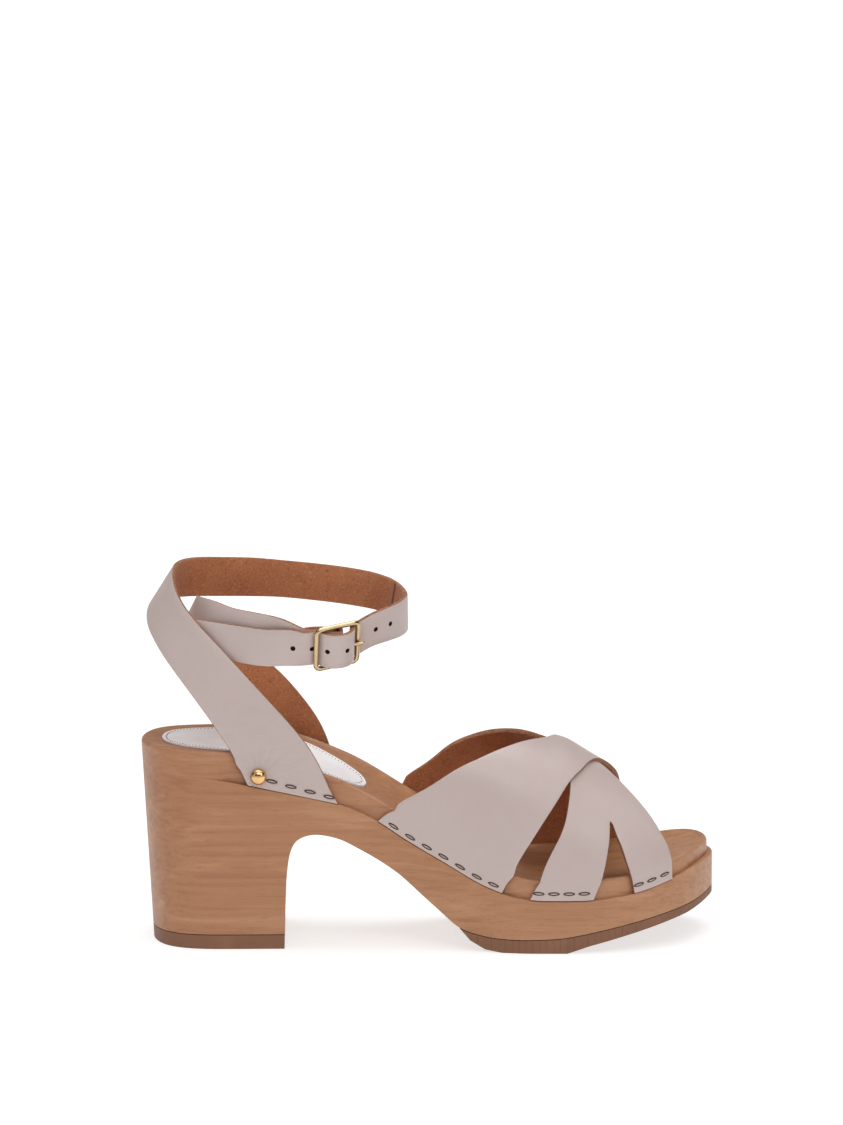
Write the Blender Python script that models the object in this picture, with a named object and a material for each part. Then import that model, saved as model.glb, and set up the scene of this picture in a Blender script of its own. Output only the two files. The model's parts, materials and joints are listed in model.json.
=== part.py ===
# High heeled wooden sandal, right foot. X points to the toe, Y to the inner (medial) side, Z up.
# The origin is the middle of the heel lift's floor face. Lateral is the outer side of the foot, at -Y.

from math import cos, pi, radians, sin

import bmesh
import bpy
import numpy as np
from mathutils import Vector

MM = 0.001

# Wooden sole
SOLE_LENGTH = 229 * MM  # heel back to toe tip
SOLE_BACK = -30.4 * MM  # where the heel back stands, from the middle of the heel's floor face
BALL_WIDTH = 89 * MM
HEEL_WIDTH = 62 * MM
SEAT_HEIGHT = 80.2 * MM  # footbed edge at the heel back
PLATFORM_HEIGHT = 28.4 * MM  # footbed edge at the ball
TOE_SPRING = 9.4 * MM  # how far the footbed edge rises again at the toe tip
RECESS_HEIGHT = 7.6 * MM  # from the ledge up to the footbed edge at the ball
RECESS_DEPTH = 2.2 * MM  # how far the strap recess is cut into the side
RECESS_LEAST = 0.06 * MM  # its depth where it has faded out at the heel
ARCH_LIFT = 4.0 * MM  # how much higher the footbed edge is on the medial side at the arch
DISH_DEPTH = 3.0 * MM  # how deep the footbed is carved
EDGE_ROUND = 1.5 * MM
HEEL_LEAN = 4.6 * MM  # how far the heel back leans forwards on its way down
BREAST_X = 26.6 * MM  # front face of the heel at the floor
ARCH_TOP = 45.4 * MM  # highest point of the arch under the waist
SOLE_BOTTOM = 5.4 * MM  # wood above the floor at the ball
TOE_BOTTOM = 19.4 * MM  # wood above the floor at the toe tip

# Rubber
LIFT_THICKNESS = 5.5 * MM
RUBBER_BACK_X = 95.5 * MM  # rear edge of the forefoot rubber
RUBBER_AT_TOE = 2.8 * MM
FLAT_FROM = 112.0 * MM  # the flat spot that the forefoot stands on
FLAT_TO = 137.5 * MM

# Leather
LEATHER = 1.8 * MM
VAMP_RISE = 53.6 * MM  # crest of the vamp above the footbed edge at the ball
WELD = 0.15 * MM  # how far the upper vamp strap sinks into the lower one where they are joined
ANKLE_LENGTH = 104.5 * MM
ANKLE_WIDTH = 54 * MM
ANKLE_RISE = 79.3 * MM  # from the strap's base up to the loop
ANKLE_BASE_X = 30 * MM
ANKLE_BASE_LENGTH = 35.8 * MM  # how long the strap's lower end is on the sole
STRAP_WIDTH = 15 * MM
STRAP_AT_BUCKLE = 14.4 * MM
HOLE_DIAMETER = 2.3 * MM
HOLE_PITCH = 7.4 * MM
HOLE_BEHIND_BAR = 10.3 * MM  # from the buckle's front bar back to the next hole
HOLE_AHEAD_OF_BAR = 8.9 * MM
SKIVED = 1.2 * MM  # the short strap's end, thinned where it folds round the centre bar
FLAP_LENGTH = 12.5 * MM  # how far the folded end reaches back from the centre bar

# Metal
WIRE = 2.0 * MM  # buckle
BUCKLE_LENGTH = 20 * MM
BAR_DROP = 0.6 * MM  # how far the centre bar lies inside the frame
BUCKLE_ROOM = 0.6 * MM  # between the strap and the frame on both sides
TURN_ROOM = 0.25 * MM  # extra room where a strap bends round a bar
PRONG_WIRE = 1.4 * MM
NAIL_DIAMETER = 6.5 * MM
STAPLE_LENGTH = 4.2 * MM
STAPLE_WIDTH = 1.3 * MM
STAPLE_THICKNESS = 0.5 * MM

SOCK_THICKNESS = 0.9 * MM

GAP = 0.3 * MM  # between pieces that touch
WALL_GAP = 0.65 * MM  # between the sole's curved side and the straps on it
SOCK_GAP = 0.7 * MM  # under the sock, where the dished footbed has flat facets
SAFE = 20 * MM  # how far a cutter reaches past what it cuts

LATERAL, MEDIAL = -1, 1

# Plan of the sole: along the sole, then half widths as shares of the local half width.
OUTLINE = (
    # along, lateral, medial
    (0.000, 0.000, 0.000),
    (0.004, 0.310, 0.320),
    (0.017, 0.600, 0.620),
    (0.038, 0.800, 0.820),
    (0.070, 0.928, 0.940),
    (0.111, 0.988, 0.992),
    (0.155, 1.000, 1.000),
    (0.220, 1.000, 0.978),
    (0.286, 0.998, 0.918),
    (0.351, 0.960, 0.830),
    (0.417, 0.918, 0.757),
    (0.482, 0.895, 0.737),
    (0.548, 0.897, 0.770),
    (0.605, 0.925, 0.838),
    (0.657, 0.957, 0.912),
    (0.710, 0.971, 0.975),
    (0.766, 0.966, 1.018),
    (0.819, 0.917, 1.025),
    (0.867, 0.820, 0.993),
    (0.910, 0.681, 0.912),
    (0.945, 0.517, 0.800),
    (0.971, 0.310, 0.670),
    (0.989, 0.095, 0.505),
    (0.9975, -0.045, 0.350),
    (1.000, -0.190, 0.190),
)

# Side view of the sole. edge and ledge run from 0 at the ball to 1 at the seat, the two springs from 0
# to 1 as the edge rises to the toe.
PROFILE = (
    # along, edge, edge spring, ledge, ledge spring, recess depth, arch, dish
    (0.000, 1.000, 0.00, 0.950, 0.00, 0.00, 0.00, 0.00),
    (0.085, 0.980, 0.00, 0.930, 0.00, 0.00, 0.25, 0.35),
    (0.130, 0.965, 0.00, 0.904, 0.00, 0.25, 0.45, 0.45),
    (0.160, 0.952, 0.00, 0.880, 0.00, 1.00, 0.57, 0.55),
    (0.200, 0.930, 0.00, 0.845, 0.00, 1.00, 0.75, 0.70),
    (0.270, 0.868, 0.00, 0.780, 0.00, 1.00, 0.90, 1.00),
    (0.326, 0.777, 0.00, 0.728, 0.00, 1.00, 1.00, 1.15),
    (0.370, 0.694, 0.00, 0.667, 0.00, 1.00, 1.00, 1.20),
    (0.412, 0.594, 0.00, 0.572, 0.00, 1.00, 0.95, 1.15),
    (0.460, 0.465, 0.00, 0.435, 0.00, 1.00, 0.85, 1.00),
    (0.525, 0.300, 0.00, 0.271, 0.00, 1.00, 0.55, 0.90),
    (0.590, 0.140, 0.00, 0.110, 0.00, 1.00, 0.25, 1.00),
    (0.645, 0.040, 0.00, 0.026, 0.00, 1.00, 0.05, 1.15),
    (0.700, 0.000, 0.00, 0.000, 0.00, 1.00, 0.00, 1.20),
    (0.785, 0.000, 0.04, 0.000, 0.03, 1.00, 0.00, 1.20),
    (0.855, 0.000, 0.22, 0.000, 0.25, 1.00, 0.10, 1.00),
    (0.920, 0.000, 0.60, 0.000, 0.68, 1.00, 0.10, 0.70),
    (0.970, 0.000, 0.92, 0.000, 1.06, 1.00, 0.00, 0.35),
    (1.000, 0.000, 1.00, 0.000, 1.18, 1.00, 0.00, 0.00),
)

# Underside of the wood in front of the heel. arch is a share of ARCH_TOP above the ball's underside,
# spring a share of the rise to the toe.
UNDERSIDE = (
    # along, arch, spring
    (0.2525, 0.55, 0.00),
    (0.2560, 0.74, 0.00),
    (0.2620, 0.87, 0.00),
    (0.2720, 0.950, 0.00),
    (0.2900, 0.995, 0.00),
    (0.3120, 1.000, 0.00),
    (0.3450, 0.955, 0.00),
    (0.3780, 0.860, 0.00),
    (0.4140, 0.742, 0.00),
    (0.4480, 0.607, 0.00),
    (0.4820, 0.432, 0.00),
    (0.5160, 0.258, 0.00),
    (0.5500, 0.098, 0.00),
    (0.5920, 0.024, 0.00),
    (0.6370, 0.000, 0.00),
    (0.6860, 0.000, 0.01),
    (0.7300, 0.000, 0.06),
    (0.7900, 0.000, 0.24),
    (0.8860, 0.000, 0.54),
    (0.9700, 0.000, 0.82),
    (1.0300, 0.000, 1.12),
)

# Sections of the last that the vamp straps lie on. crest is a share of VAMP_RISE, fullness is
# the exponent of the section's curve, where 2 is an ellipse.
LAST = (
    # along, crest, fullness
    (0.400, 0.980, 3.2),
    (0.500, 0.990, 3.2),
    (0.570, 1.012, 3.0),
    (0.613, 1.010, 2.8),
    (0.657, 0.978, 2.5),
    (0.705, 0.903, 2.3),
    (0.740, 0.862, 2.05),
    (0.766, 0.795, 2.0),
    (0.788, 0.735, 2.0),
    (0.814, 0.670, 2.0),
    (0.836, 0.617, 2.0),
    (0.858, 0.562, 2.0),
    (0.884, 0.481, 2.0),
    (0.920, 0.347, 2.0),
)

# Edges of the two vamp straps, as places along the sole. girth runs from -1 at the strap's wide base
# over 0 at the crest to 1 at its tines. The over strap starts on the lateral side, the under strap on
# the medial side.
VAMP_EDGES = (
    # girth, over rear, over front, under rear, under front
    (-1.000, 0.410, 0.623, 0.432, 0.623),
    (-0.860, 0.437, 0.641, 0.452, 0.636),
    (-0.790, 0.461, 0.659, 0.468, 0.654),
    (-0.655, 0.503, 0.688, 0.502, 0.688),
    (-0.505, 0.548, 0.718, 0.536, 0.722),
    (-0.413, 0.585, 0.733, 0.570, 0.738),
    (-0.290, 0.630, 0.757, 0.617, 0.757),
    (-0.186, 0.667, 0.771, 0.662, 0.771),
    (-0.040, 0.706, 0.789, 0.712, 0.791),
    (0.100, 0.725, 0.810, 0.727, 0.819),
    (0.220, 0.735, 0.830, 0.733, 0.844),
    (0.400, 0.738, 0.843, 0.739, 0.884),
    (0.515, 0.730, 0.848, 0.734, 0.899),
    (0.620, 0.719, 0.853, 0.728, 0.909),
    (0.735, 0.700, 0.858, 0.710, 0.914),
    (0.860, 0.676, 0.862, 0.686, 0.916),
    (1.000, 0.655, 0.864, 0.670, 0.915),
)

# The fork between the two tines of each strap: front edge of the rear tine, rear edge of the front one.
FORKS = (
    # girth, over strap, over strap, under strap, under strap
    (0.524, 0.7850, 0.7875, 0.8055, 0.8085),
    (0.550, 0.7835, 0.7892, 0.8052, 0.8115),
    (0.600, 0.7815, 0.7910, 0.8048, 0.8165),
    (0.660, 0.7770, 0.7940, 0.8030, 0.8240),
    (0.760, 0.7680, 0.7990, 0.7980, 0.8330),
    (0.860, 0.7580, 0.8030, 0.7905, 0.8410),
    (1.000, 0.7450, 0.8060, 0.7770, 0.8470),
)

# Ankle straps, a row per section. x and z are shares of ANKLE_LENGTH and ANKLE_RISE from the middle of
# the strap's base, y is a share of half ANKLE_WIDTH. lean turns the section in side view, from
# upright towards the toe, and flare turns its upper end sideways. width is a share of STRAP_WIDTH.
LONG_STRAP = (
    # x, y, z, lean, flare, width
    (-0.093, -1.110, 0.232, 76, 0, 1.87),
    (-0.188, -1.090, 0.396, 62, 1, 1.57),
    (-0.292, -1.045, 0.565, 60, 0, 1.42),
    (-0.370, -0.935, 0.686, 59, -5, 1.34),
    (-0.425, -0.775, 0.770, 58, -13, 1.28),
    (-0.470, -0.535, 0.850, 54, -22, 1.25),
    (-0.491, -0.275, 0.907, 47, -26, 1.22),
    (-0.496, 0.035, 0.962, 37, -24, 1.19),
    (-0.476, 0.385, 1.000, 28, -16, 1.17),
    (-0.393, 0.775, 1.004, 15, -8, 1.11),
    (-0.270, 0.945, 0.998, 8, -4, 1.07),
    (-0.150, 1.000, 0.993, 3, 0, 1.04),
    (-0.040, 1.000, 0.984, 0, 0, 1.00),
    (0.106, 0.965, 0.966, 0, 0, 1.00),
    (0.222, 0.850, 0.950, 0, 0, 1.00),
    (0.324, 0.630, 0.932, -3, 0, 1.00),
    (0.395, 0.350, 0.905, -4, 3, 1.00),
    (0.431, 0.010, 0.864, -1, -6, 0.99),
    (0.410, -0.270, 0.839, 0, -10, 0.98),
    (0.364, -0.500, 0.823, 1, -15, 0.97),
    (0.308, -0.670, 0.804, 0, -21, 0.97),
)
LONG_STRAP_TAIL = (
    (-0.010, -1.075, 0.730, 1, -8, 0.98),
    (-0.110, -1.040, 0.729, 2, -3, 0.98),
    (-0.215, -0.940, 0.746, 3, 0, 0.96),
    (-0.300, -0.850, 0.760, 3, 2, 0.94),
    (-0.362, -0.745, 0.770, 3, 3, 0.92),
)
SHORT_STRAP = (
    (-0.042, 1.085, 0.230, 76, -5, 1.90),
    (-0.121, 1.065, 0.392, 61, -2, 1.57),
    (-0.215, 1.000, 0.535, 59, 0, 1.40),
    (-0.282, 0.870, 0.664, 56, 6, 1.30),
    (-0.340, 0.650, 0.752, 50, 13, 1.20),
    (-0.376, 0.350, 0.814, 41, 18, 1.13),
    (-0.390, 0.000, 0.848, 29, 13, 1.09),
    (-0.368, -0.350, 0.857, 19, 7, 1.05),
    (-0.308, -0.630, 0.848, 13, 3, 1.03),
    (-0.230, -0.790, 0.820, 8, 0, 1.01),
    (-0.144, -0.900, 0.803, 5, 0, 1.00),
    (-0.050, -0.945, 0.782, 3, -9, 0.98),
)
# Lower end of each ankle strap: how far its ends have moved back, as shares of ANKLE_LENGTH, where the
# strap has risen by a share of ANKLE_RISE.
BASE_ROWS = (
    # rise, rear end, lateral front end, medial front end
    (0.000, 0.000, 0.000, 0.000),
    (0.085, 0.032, 0.035, 0.012),
)
# Where the straps run inside the buckle, from its middle. along is a share of the way to its front bar.
OVER_CENTRE = (
    # along, rise as a share of the crest over the centre bar
    (0.70, 0.20),
    (0.555, 0.62),
    (0.34, 0.89),
    (0.10, 1.00),
    (-0.18, 0.94),
    (-0.43, 0.69),
    (-0.62, 0.28),
)
SHORT_IN = (
    # along, depth as a share of the way to the layer behind the rear bar
    (-0.87, 0.96),
    (-0.67, 0.70),
    (-0.48, 0.36),
    (-0.31, 0.06),
)
FLAP_OUT = (
    # along, depth as a share of the way to the folded layer
    (-0.12, 0.46),
    (-0.32, 0.59),
    (-0.56, 0.79),
    (-0.84, 0.95),
    (-1.12, 1.04),
)
BUCKLE_AT = (0.168, -0.968, 0.733)  # the same shares as a strap's section
BUCKLE_YAW = 24.0
BUCKLE_PITCH = 8.0
BUCKLE_LEAN = 21.5  # how far the buckle's upper side leans outwards

# Where the straps are stapled: from and to along the sole, staples, first and last as shares of that
# length, and the height of the first and the last above the strap's lower edge.
BASES = (
    ("lateral", "vamp_base", 0.410, 0.623, 7, 0.125, 0.925, 2.0 * MM, 2.0 * MM),
    ("lateral", "vamp_rear_tine", 0.670, 0.777, 4, 0.13, 0.86, 2.8 * MM, 2.8 * MM),
    ("lateral", "vamp_front_tine", 0.847, 0.915, 3, 0.15, 0.83, 2.9 * MM, 2.9 * MM),
    ("medial", "vamp_base", 0.432, 0.623, 7, 0.11, 0.92, 2.0 * MM, 2.0 * MM),
    ("medial", "vamp_rear_tine", 0.655, 0.745, 4, 0.13, 0.86, 2.8 * MM, 2.8 * MM),
    ("medial", "vamp_front_tine", 0.806, 0.864, 3, 0.15, 0.83, 2.9 * MM, 2.9 * MM),
)
ANKLE_STAPLES = ("ankle", 4, 0.27, 0.90, 4.0 * MM, 2.4 * MM)
NAIL_HEIGHT = 4.9 * MM  # above the strap's lower edge
NAIL_TO_STAPLE = 5.2 * MM  # from the dome nail forward to the first staple

# Plan of the heel sock, shares of SOLE_LENGTH along and of half HEEL_WIDTH across.
SOCK = (
    # along, lateral, medial
    (0.036, 0.00, 0.00),
    (0.042, -0.28, 0.30),
    (0.062, -0.50, 0.52),
    (0.100, -0.66, 0.66),
    (0.160, -0.71, 0.70),
    (0.230, -0.68, 0.68),
    (0.290, -0.60, 0.60),
    (0.335, -0.45, 0.49),
    (0.370, -0.21, 0.37),
    (0.386, -0.02, 0.28),
    (0.392, 0.14, 0.14),
)

STATION_STEPS = 2  # sole sections between two rows of OUTLINE
STRAP_STEPS = 4  # strap sections between two rows of a table


def smooth_curve(rows, column):
    """A curve through one column of a table, against its first column, with no overshoot."""
    at = np.array([row[0] for row in rows], float)
    value = np.array([row[column] for row in rows], float)
    slope = np.diff(value) / np.diff(at)
    tangent = np.concatenate([slope[:1], (slope[:-1] + slope[1:]) / 2, slope[-1:]])
    turning = np.concatenate([[False], slope[:-1] * slope[1:] <= 0, [False]])
    tangent[turning] = 0

    def read(x):
        x = np.clip(x, at[0], at[-1])
        i = np.clip(np.searchsorted(at, x) - 1, 0, len(at) - 2)
        step = at[i + 1] - at[i]
        t = (x - at[i]) / step
        start = (1 + 2 * t) * (1 - t) ** 2 * value[i] + t * (1 - t) ** 2 * step * tangent[i]
        end = t * t * (3 - 2 * t) * value[i + 1] + t * t * (t - 1) * step * tangent[i + 1]
        return start + end

    return read


def through(rows, steps):
    """Points on a smooth curve through the rows, with steps between each two."""
    rows = np.array(rows, float)
    padded = np.vstack([2 * rows[0] - rows[1], rows, 2 * rows[-1] - rows[-2]])
    found = []
    for a, b, c, d in zip(padded, padded[1:], padded[2:], padded[3:]):
        for t in np.arange(steps) / steps:
            found.append(
                b + 0.5 * t * (c - a + t * (2 * a - 5 * b + 4 * c - d + t * (3 * (b - c) + d - a)))
            )
    return np.array(found + [rows[-1]])


def smooth_step(x, low, high):
    t = np.clip((x - low) / (high - low), 0, 1)
    return t * t * (3 - 2 * t)


def along(x):
    return (x - SOLE_BACK) / SOLE_LENGTH


def at_share(share):
    return SOLE_BACK + share * SOLE_LENGTH


def outline_sides():
    """The two sides of the plan, from the heel back to the toe tip, station by station."""
    rows = []
    for share, lateral, medial in OUTLINE:
        half = (HEEL_WIDTH + (BALL_WIDTH - HEEL_WIDTH) * smooth_step(share, 0.28, 0.68)) / 2
        rows.append((at_share(share), -lateral * half, medial * half))
    sides = []
    for column in (1, 2):
        loop = [(row[0], row[column]) for row in rows]
        other = [(row[0], row[3 - column]) for row in rows]
        closed = [other[1], *loop, other[-2]]
        sides.append(through(closed, STATION_STEPS)[STATION_STEPS:-STATION_STEPS])
    return sides


def closed_loop(sides):
    return np.vstack([sides[0], sides[1][-2:0:-1]])


def inset_loop(loop, distance):
    """The closed loop moved inwards; distance is one number or one for each point."""
    tangent = np.roll(loop, -1, axis=0) - np.roll(loop, 1, axis=0)
    tangent /= np.linalg.norm(tangent, axis=1)[:, None]
    inward = np.stack([-tangent[:, 1], tangent[:, 0]], axis=1)
    return loop + inward * np.reshape(distance, (-1, 1))


LOOP = closed_loop(outline_sides())
HALF = len(LOOP) // 2
EDGE, EDGE_SPRING, LEDGE, LEDGE_SPRING, DEPTH, ARCH, DISH = (
    smooth_curve(PROFILE, column) for column in range(1, 8)
)
CREST, FULLNESS = (smooth_curve(LAST, column) for column in (1, 2))


def side_y(x, side, inset=0.0):
    """How far out the sole's side is at x, moved in by inset."""
    moved = inset_loop(LOOP, inset)
    half = moved[: HALF + 1] if side == LATERAL else np.vstack([moved[HALF:], moved[:1]])[::-1]
    order = np.argsort(half[:, 0])
    return np.interp(x, half[order, 0], half[order, 1])


def footbed_edge(x, side):
    s = along(x)
    height = PLATFORM_HEIGHT + EDGE(s) * (SEAT_HEIGHT - PLATFORM_HEIGHT)
    return height + EDGE_SPRING(s) * TOE_SPRING + (side > 0) * ARCH(s) * ARCH_LIFT


def ledge(x):
    s = along(x)
    height = PLATFORM_HEIGHT - RECESS_HEIGHT + LEDGE(s) * (SEAT_HEIGHT - PLATFORM_HEIGHT)
    return height + LEDGE_SPRING(s) * TOE_SPRING


def footbed(x, y):
    """Height of the carved footbed, lowest in the middle."""
    lateral, medial = side_y(x, LATERAL), side_y(x, MEDIAL)
    across = np.clip((y - lateral) / np.maximum(medial - lateral, MM), 0, 1)
    edge = footbed_edge(x, LATERAL)
    edge = edge + smooth_step(across, 0.45, 1.0) * (footbed_edge(x, MEDIAL) - edge)
    return edge - DISH(along(x)) * DISH_DEPTH * (4 * across * (1 - across)) ** 1.2


def clear_scene():
    for old in list(bpy.data.objects):
        bpy.data.objects.remove(old, do_unlink=True)


def finish_of(name, colour, roughness, metallic=0.0):
    material = bpy.data.materials.new(name)
    material.use_nodes = True
    shader = material.node_tree.nodes["Principled BSDF"]
    shader.inputs["Base Color"].default_value = (*colour, 1)
    shader.inputs["Roughness"].default_value = roughness
    shader.inputs["Metallic"].default_value = metallic
    material.diffuse_color = (*colour, 1)
    return material


def add_mesh(name, points, faces, material=None):
    """An object of these points and faces, its faces turned outwards."""
    mesh = bpy.data.meshes.new(name)
    mesh.from_pydata([tuple(p) for p in points], [], [tuple(f) for f in faces])
    obj = bpy.data.objects.new(name, mesh)
    bpy.context.collection.objects.link(obj)
    shape = bmesh.new()
    shape.from_mesh(mesh)
    bmesh.ops.recalc_face_normals(shape, faces=shape.faces)
    shape.to_mesh(mesh)
    shape.free()
    mesh.shade_smooth()
    mesh.set_sharp_from_angle(angle=radians(35))
    if material:
        mesh.materials.append(material)
    return obj


def guide(obj):
    obj.hide_render = True
    obj.display_type = "WIRE"
    return obj


def combine(obj, other, operation):
    modifier = obj.modifiers.new(f"{operation.lower()} {other.name}", "BOOLEAN")
    modifier.operation = operation
    modifier.solver = "EXACT"
    modifier.object = guide(other)
    return obj


def ring_faces(count, rings):
    """Quads between neighbouring rings, each a closed loop of count points."""
    faces = []
    for r in range(rings - 1):
        for i in range(count):
            j = (i + 1) % count
            faces.append((r * count + i, r * count + j, (r + 1) * count + j, (r + 1) * count + i))
    return faces


def cap_faces(first):
    """Strips across a ring, from the lateral station to the medial one."""
    count = 2 * HALF
    faces = [(first, first + 1, first + count - 1)]
    for k in range(1, HALF - 1):
        faces.append((first + k, first + k + 1, first + count - k - 1, first + count - k))
    faces.append((first + HALF - 1, first + HALF, first + HALF + 1))
    return faces


def leaned(points):
    """The heel back leans forwards on its way down."""
    down = 1 - points[:, 2] / SEAT_HEIGHT
    weight = 1 - smooth_step(along(points[:, 0]), 0.0, 0.17)
    points[:, 0] += HEEL_LEAN * down * weight
    return points


def sole_blank(name, material, top):
    """A block with the sole's plan and upright sides, flat on top."""
    rings = [
        leaned(np.column_stack([LOOP, np.full(len(LOOP), height)])) for height in (-SAFE, top)
    ]
    points = np.vstack(rings)
    faces = ring_faces(len(LOOP), 2) + cap_faces(0) + cap_faces(len(LOOP))
    return add_mesh(name, points, faces, material)


def side_view_prism(name, outline):
    """A closed side view outline of (x, z) points, drawn across the whole width."""
    reach = BALL_WIDTH
    count = len(outline)
    points = [(x, y, z) for y in (-reach, reach) for x, z in outline]
    faces = [tuple(range(count)), tuple(range(2 * count - 1, count - 1, -1))]
    for i in range(count):
        j = (i + 1) % count
        faces.append((i, j, count + j, count + i))
    return add_mesh(name, points, faces)


def underside_line():
    """Underside of the wood from the heel breast to the toe, as (x, z) points."""
    return [
        (
            at_share(share),
            SOLE_BOTTOM + arch * (ARCH_TOP - SOLE_BOTTOM) + spring * (TOE_BOTTOM - SOLE_BOTTOM),
        )
        for share, arch, spring in UNDERSIDE
    ]


def wooden_sole(material):
    """The block carved to its footbed, with the strap recess cut round its upper edge."""
    shares = along(LOOP[:, 0])
    recess = np.maximum(DEPTH(shares) * RECESS_DEPTH, RECESS_LEAST)
    sides = np.where(np.arange(len(LOOP)) <= HALF, LATERAL, MEDIAL)

    def ring(inset, height):
        plan = inset_loop(LOOP, inset)
        return leaned(np.column_stack([plan, height(plan[:, 0], plan[:, 1])]))

    def below_edge(drop):
        return lambda x, y: footbed_edge(x, sides) - drop

    rings = [
        ring(0, lambda x, y: np.full(len(x), -SAFE)),
        ring(0, lambda x, y: ledge(x)),
        ring(recess, lambda x, y: ledge(x)),
        ring(recess, below_edge(EDGE_ROUND)),
        ring(recess + 0.3 * EDGE_ROUND, below_edge(0.3 * EDGE_ROUND)),
        ring(recess + EDGE_ROUND, footbed),
    ]
    middle_x = np.clip(LOOP[:, 0], at_share(0.10), at_share(0.90))
    middle = np.column_stack([middle_x, (side_y(middle_x, -1) + side_y(middle_x, 1)) / 2])
    rim = rings[-1][:, :2]
    for share in (0.12, 0.30, 0.55, 0.80):
        plan = rim + (middle - rim) * share
        rings.append(np.column_stack([plan, footbed(plan[:, 0], plan[:, 1])]))
    faces = ring_faces(len(LOOP), len(rings)) + cap_faces(0) + cap_faces(len(LOOP) * (len(rings) - 1))
    sole = add_mesh("wooden_sole", np.vstack(rings), faces, material)
    back, front, low = SOLE_BACK - SAFE, SOLE_BACK + SOLE_LENGTH + SAFE, -2 * SAFE
    floor = LIFT_THICKNESS + GAP
    line = [(back, low), (back, floor), (BREAST_X, floor), *underside_line()]
    waste = side_view_prism("waste_under_sole", [*line, (front, line[-1][1]), (front, low)])
    return combine(sole, waste, "DIFFERENCE")


def heel_lift(material):
    lift = sole_blank("heel_lift", material, SEAT_HEIGHT / 2)
    back = SOLE_BACK - SAFE
    outline = [(back, 0), (back, LIFT_THICKNESS), (BREAST_X, LIFT_THICKNESS), (BREAST_X, 0)]
    return combine(lift, side_view_prism("lift_side_view", outline), "INTERSECT")


def forefoot_outsole(material):
    """Rubber under the forefoot, bevelled at its rear edge and ground flat where it stands."""
    rubber = sole_blank("forefoot_outsole", material, SEAT_HEIGHT / 2)
    line = np.array(underside_line())
    front = SOLE_BACK + SOLE_LENGTH + SAFE
    start = RUBBER_BACK_X

    def wood_at(x):
        return np.interp(x, line[:, 0], line[:, 1])

    top = [(start, wood_at(start) - GAP)]
    top += [(x, z - GAP) for x, z in line if start < x]
    top.append((front, line[-1][1] - GAP))
    toe = SOLE_BACK + SOLE_LENGTH
    worn = [(FLAT_TO, 0)]
    for share in (0.15, 0.35, 0.6, 0.8, 1.0):
        x = FLAT_TO + share * (toe - FLAT_TO)
        thickness = wood_at(FLAT_TO) - GAP - share ** 0.5 * (wood_at(FLAT_TO) - GAP - RUBBER_AT_TOE)
        worn.append((x, wood_at(x) - GAP - thickness))
    worn.append((front, wood_at(front) - RUBBER_AT_TOE))
    bevel = [(start + 0.6 * (FLAT_FROM - start), 1.1 * MM), (start + 0.25 * (FLAT_FROM - start), 4.4 * MM)]
    outline = top + worn[::-1] + [(FLAT_FROM, 0)] + bevel
    return combine(rubber, side_view_prism("rubber_side_view", outline), "INTERSECT")


def heel_sock(material):
    """Thin pad glued on the seat and waist of the footbed."""
    half = HEEL_WIDTH / 2
    lateral = through([(at_share(a), side * half) for a, side, _ in SOCK], 2)
    medial = through([(at_share(a), side * half) for a, _, side in SOCK], 2)
    edge = np.vstack([lateral, medial[-2:0:-1]])
    middle = np.column_stack([
        np.clip(edge[:, 0], at_share(0.12), at_share(0.32)),
        np.full(len(edge), 0.04 * half),
    ])
    points = []
    for height in (SOCK_GAP, SOCK_GAP + SOCK_THICKNESS):
        for share in (0, 0.35, 0.75):
            plan = edge + (middle - edge) * share
            points.append(np.column_stack([plan, footbed(plan[:, 0], plan[:, 1]) + height]))
    points = [points[i] for i in (2, 1, 0, 3, 4, 5)]
    count, last = len(edge), 5 * len(edge)
    faces = ring_faces(count, 6) + sock_cap(count, 0) + sock_cap(count, last)
    return add_mesh("heel_sock", np.vstack(points), faces, material)


def sock_cap(count, first):
    faces = [(first, first + 1, first + count - 1)]
    for k in range(1, count // 2 - 1):
        faces.append((first + k, first + k + 1, first + count - k - 1, first + count - k))
    faces.append((first + count // 2 - 1, first + count // 2, first + count // 2 + 1))
    return faces


UPRIGHT = 0.86  # girth at which the straps turn from the last's curve to the upright recess


def on_last(share, girth, lift):
    """A point on the last, or lift above it. girth is -1 at the lateral ledge, 1 at the medial."""
    x = at_share(share)
    inset = DEPTH(share) * RECESS_DEPTH - WALL_GAP
    lateral, medial = side_y(x, LATERAL, inset), side_y(x, MEDIAL, inset)
    side = LATERAL if girth < 0 else MEDIAL
    middle = (lateral + medial) / 2
    out = (medial if side > 0 else lateral) - middle
    edge, foot = footbed_edge(x, side), ledge(x) + GAP
    crest = PLATFORM_HEIGHT + CREST(share) * VAMP_RISE
    around = min(abs(girth) / UPRIGHT, 1) * pi / 2
    power = 2 / FULLNESS(share)
    across, up = sin(around) ** power, max(cos(around), 0) ** power
    height = edge + up * (crest - edge)
    if abs(girth) > UPRIGHT:
        height = edge + (foot - edge) * (abs(girth) - UPRIGHT) / (1 - UPRIGHT)
    slope = sin(around)
    return (
        x,
        middle + across * out + lift * slope * (1 if side > 0 else -1),
        height + lift * max(cos(around), 0),
    )


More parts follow.
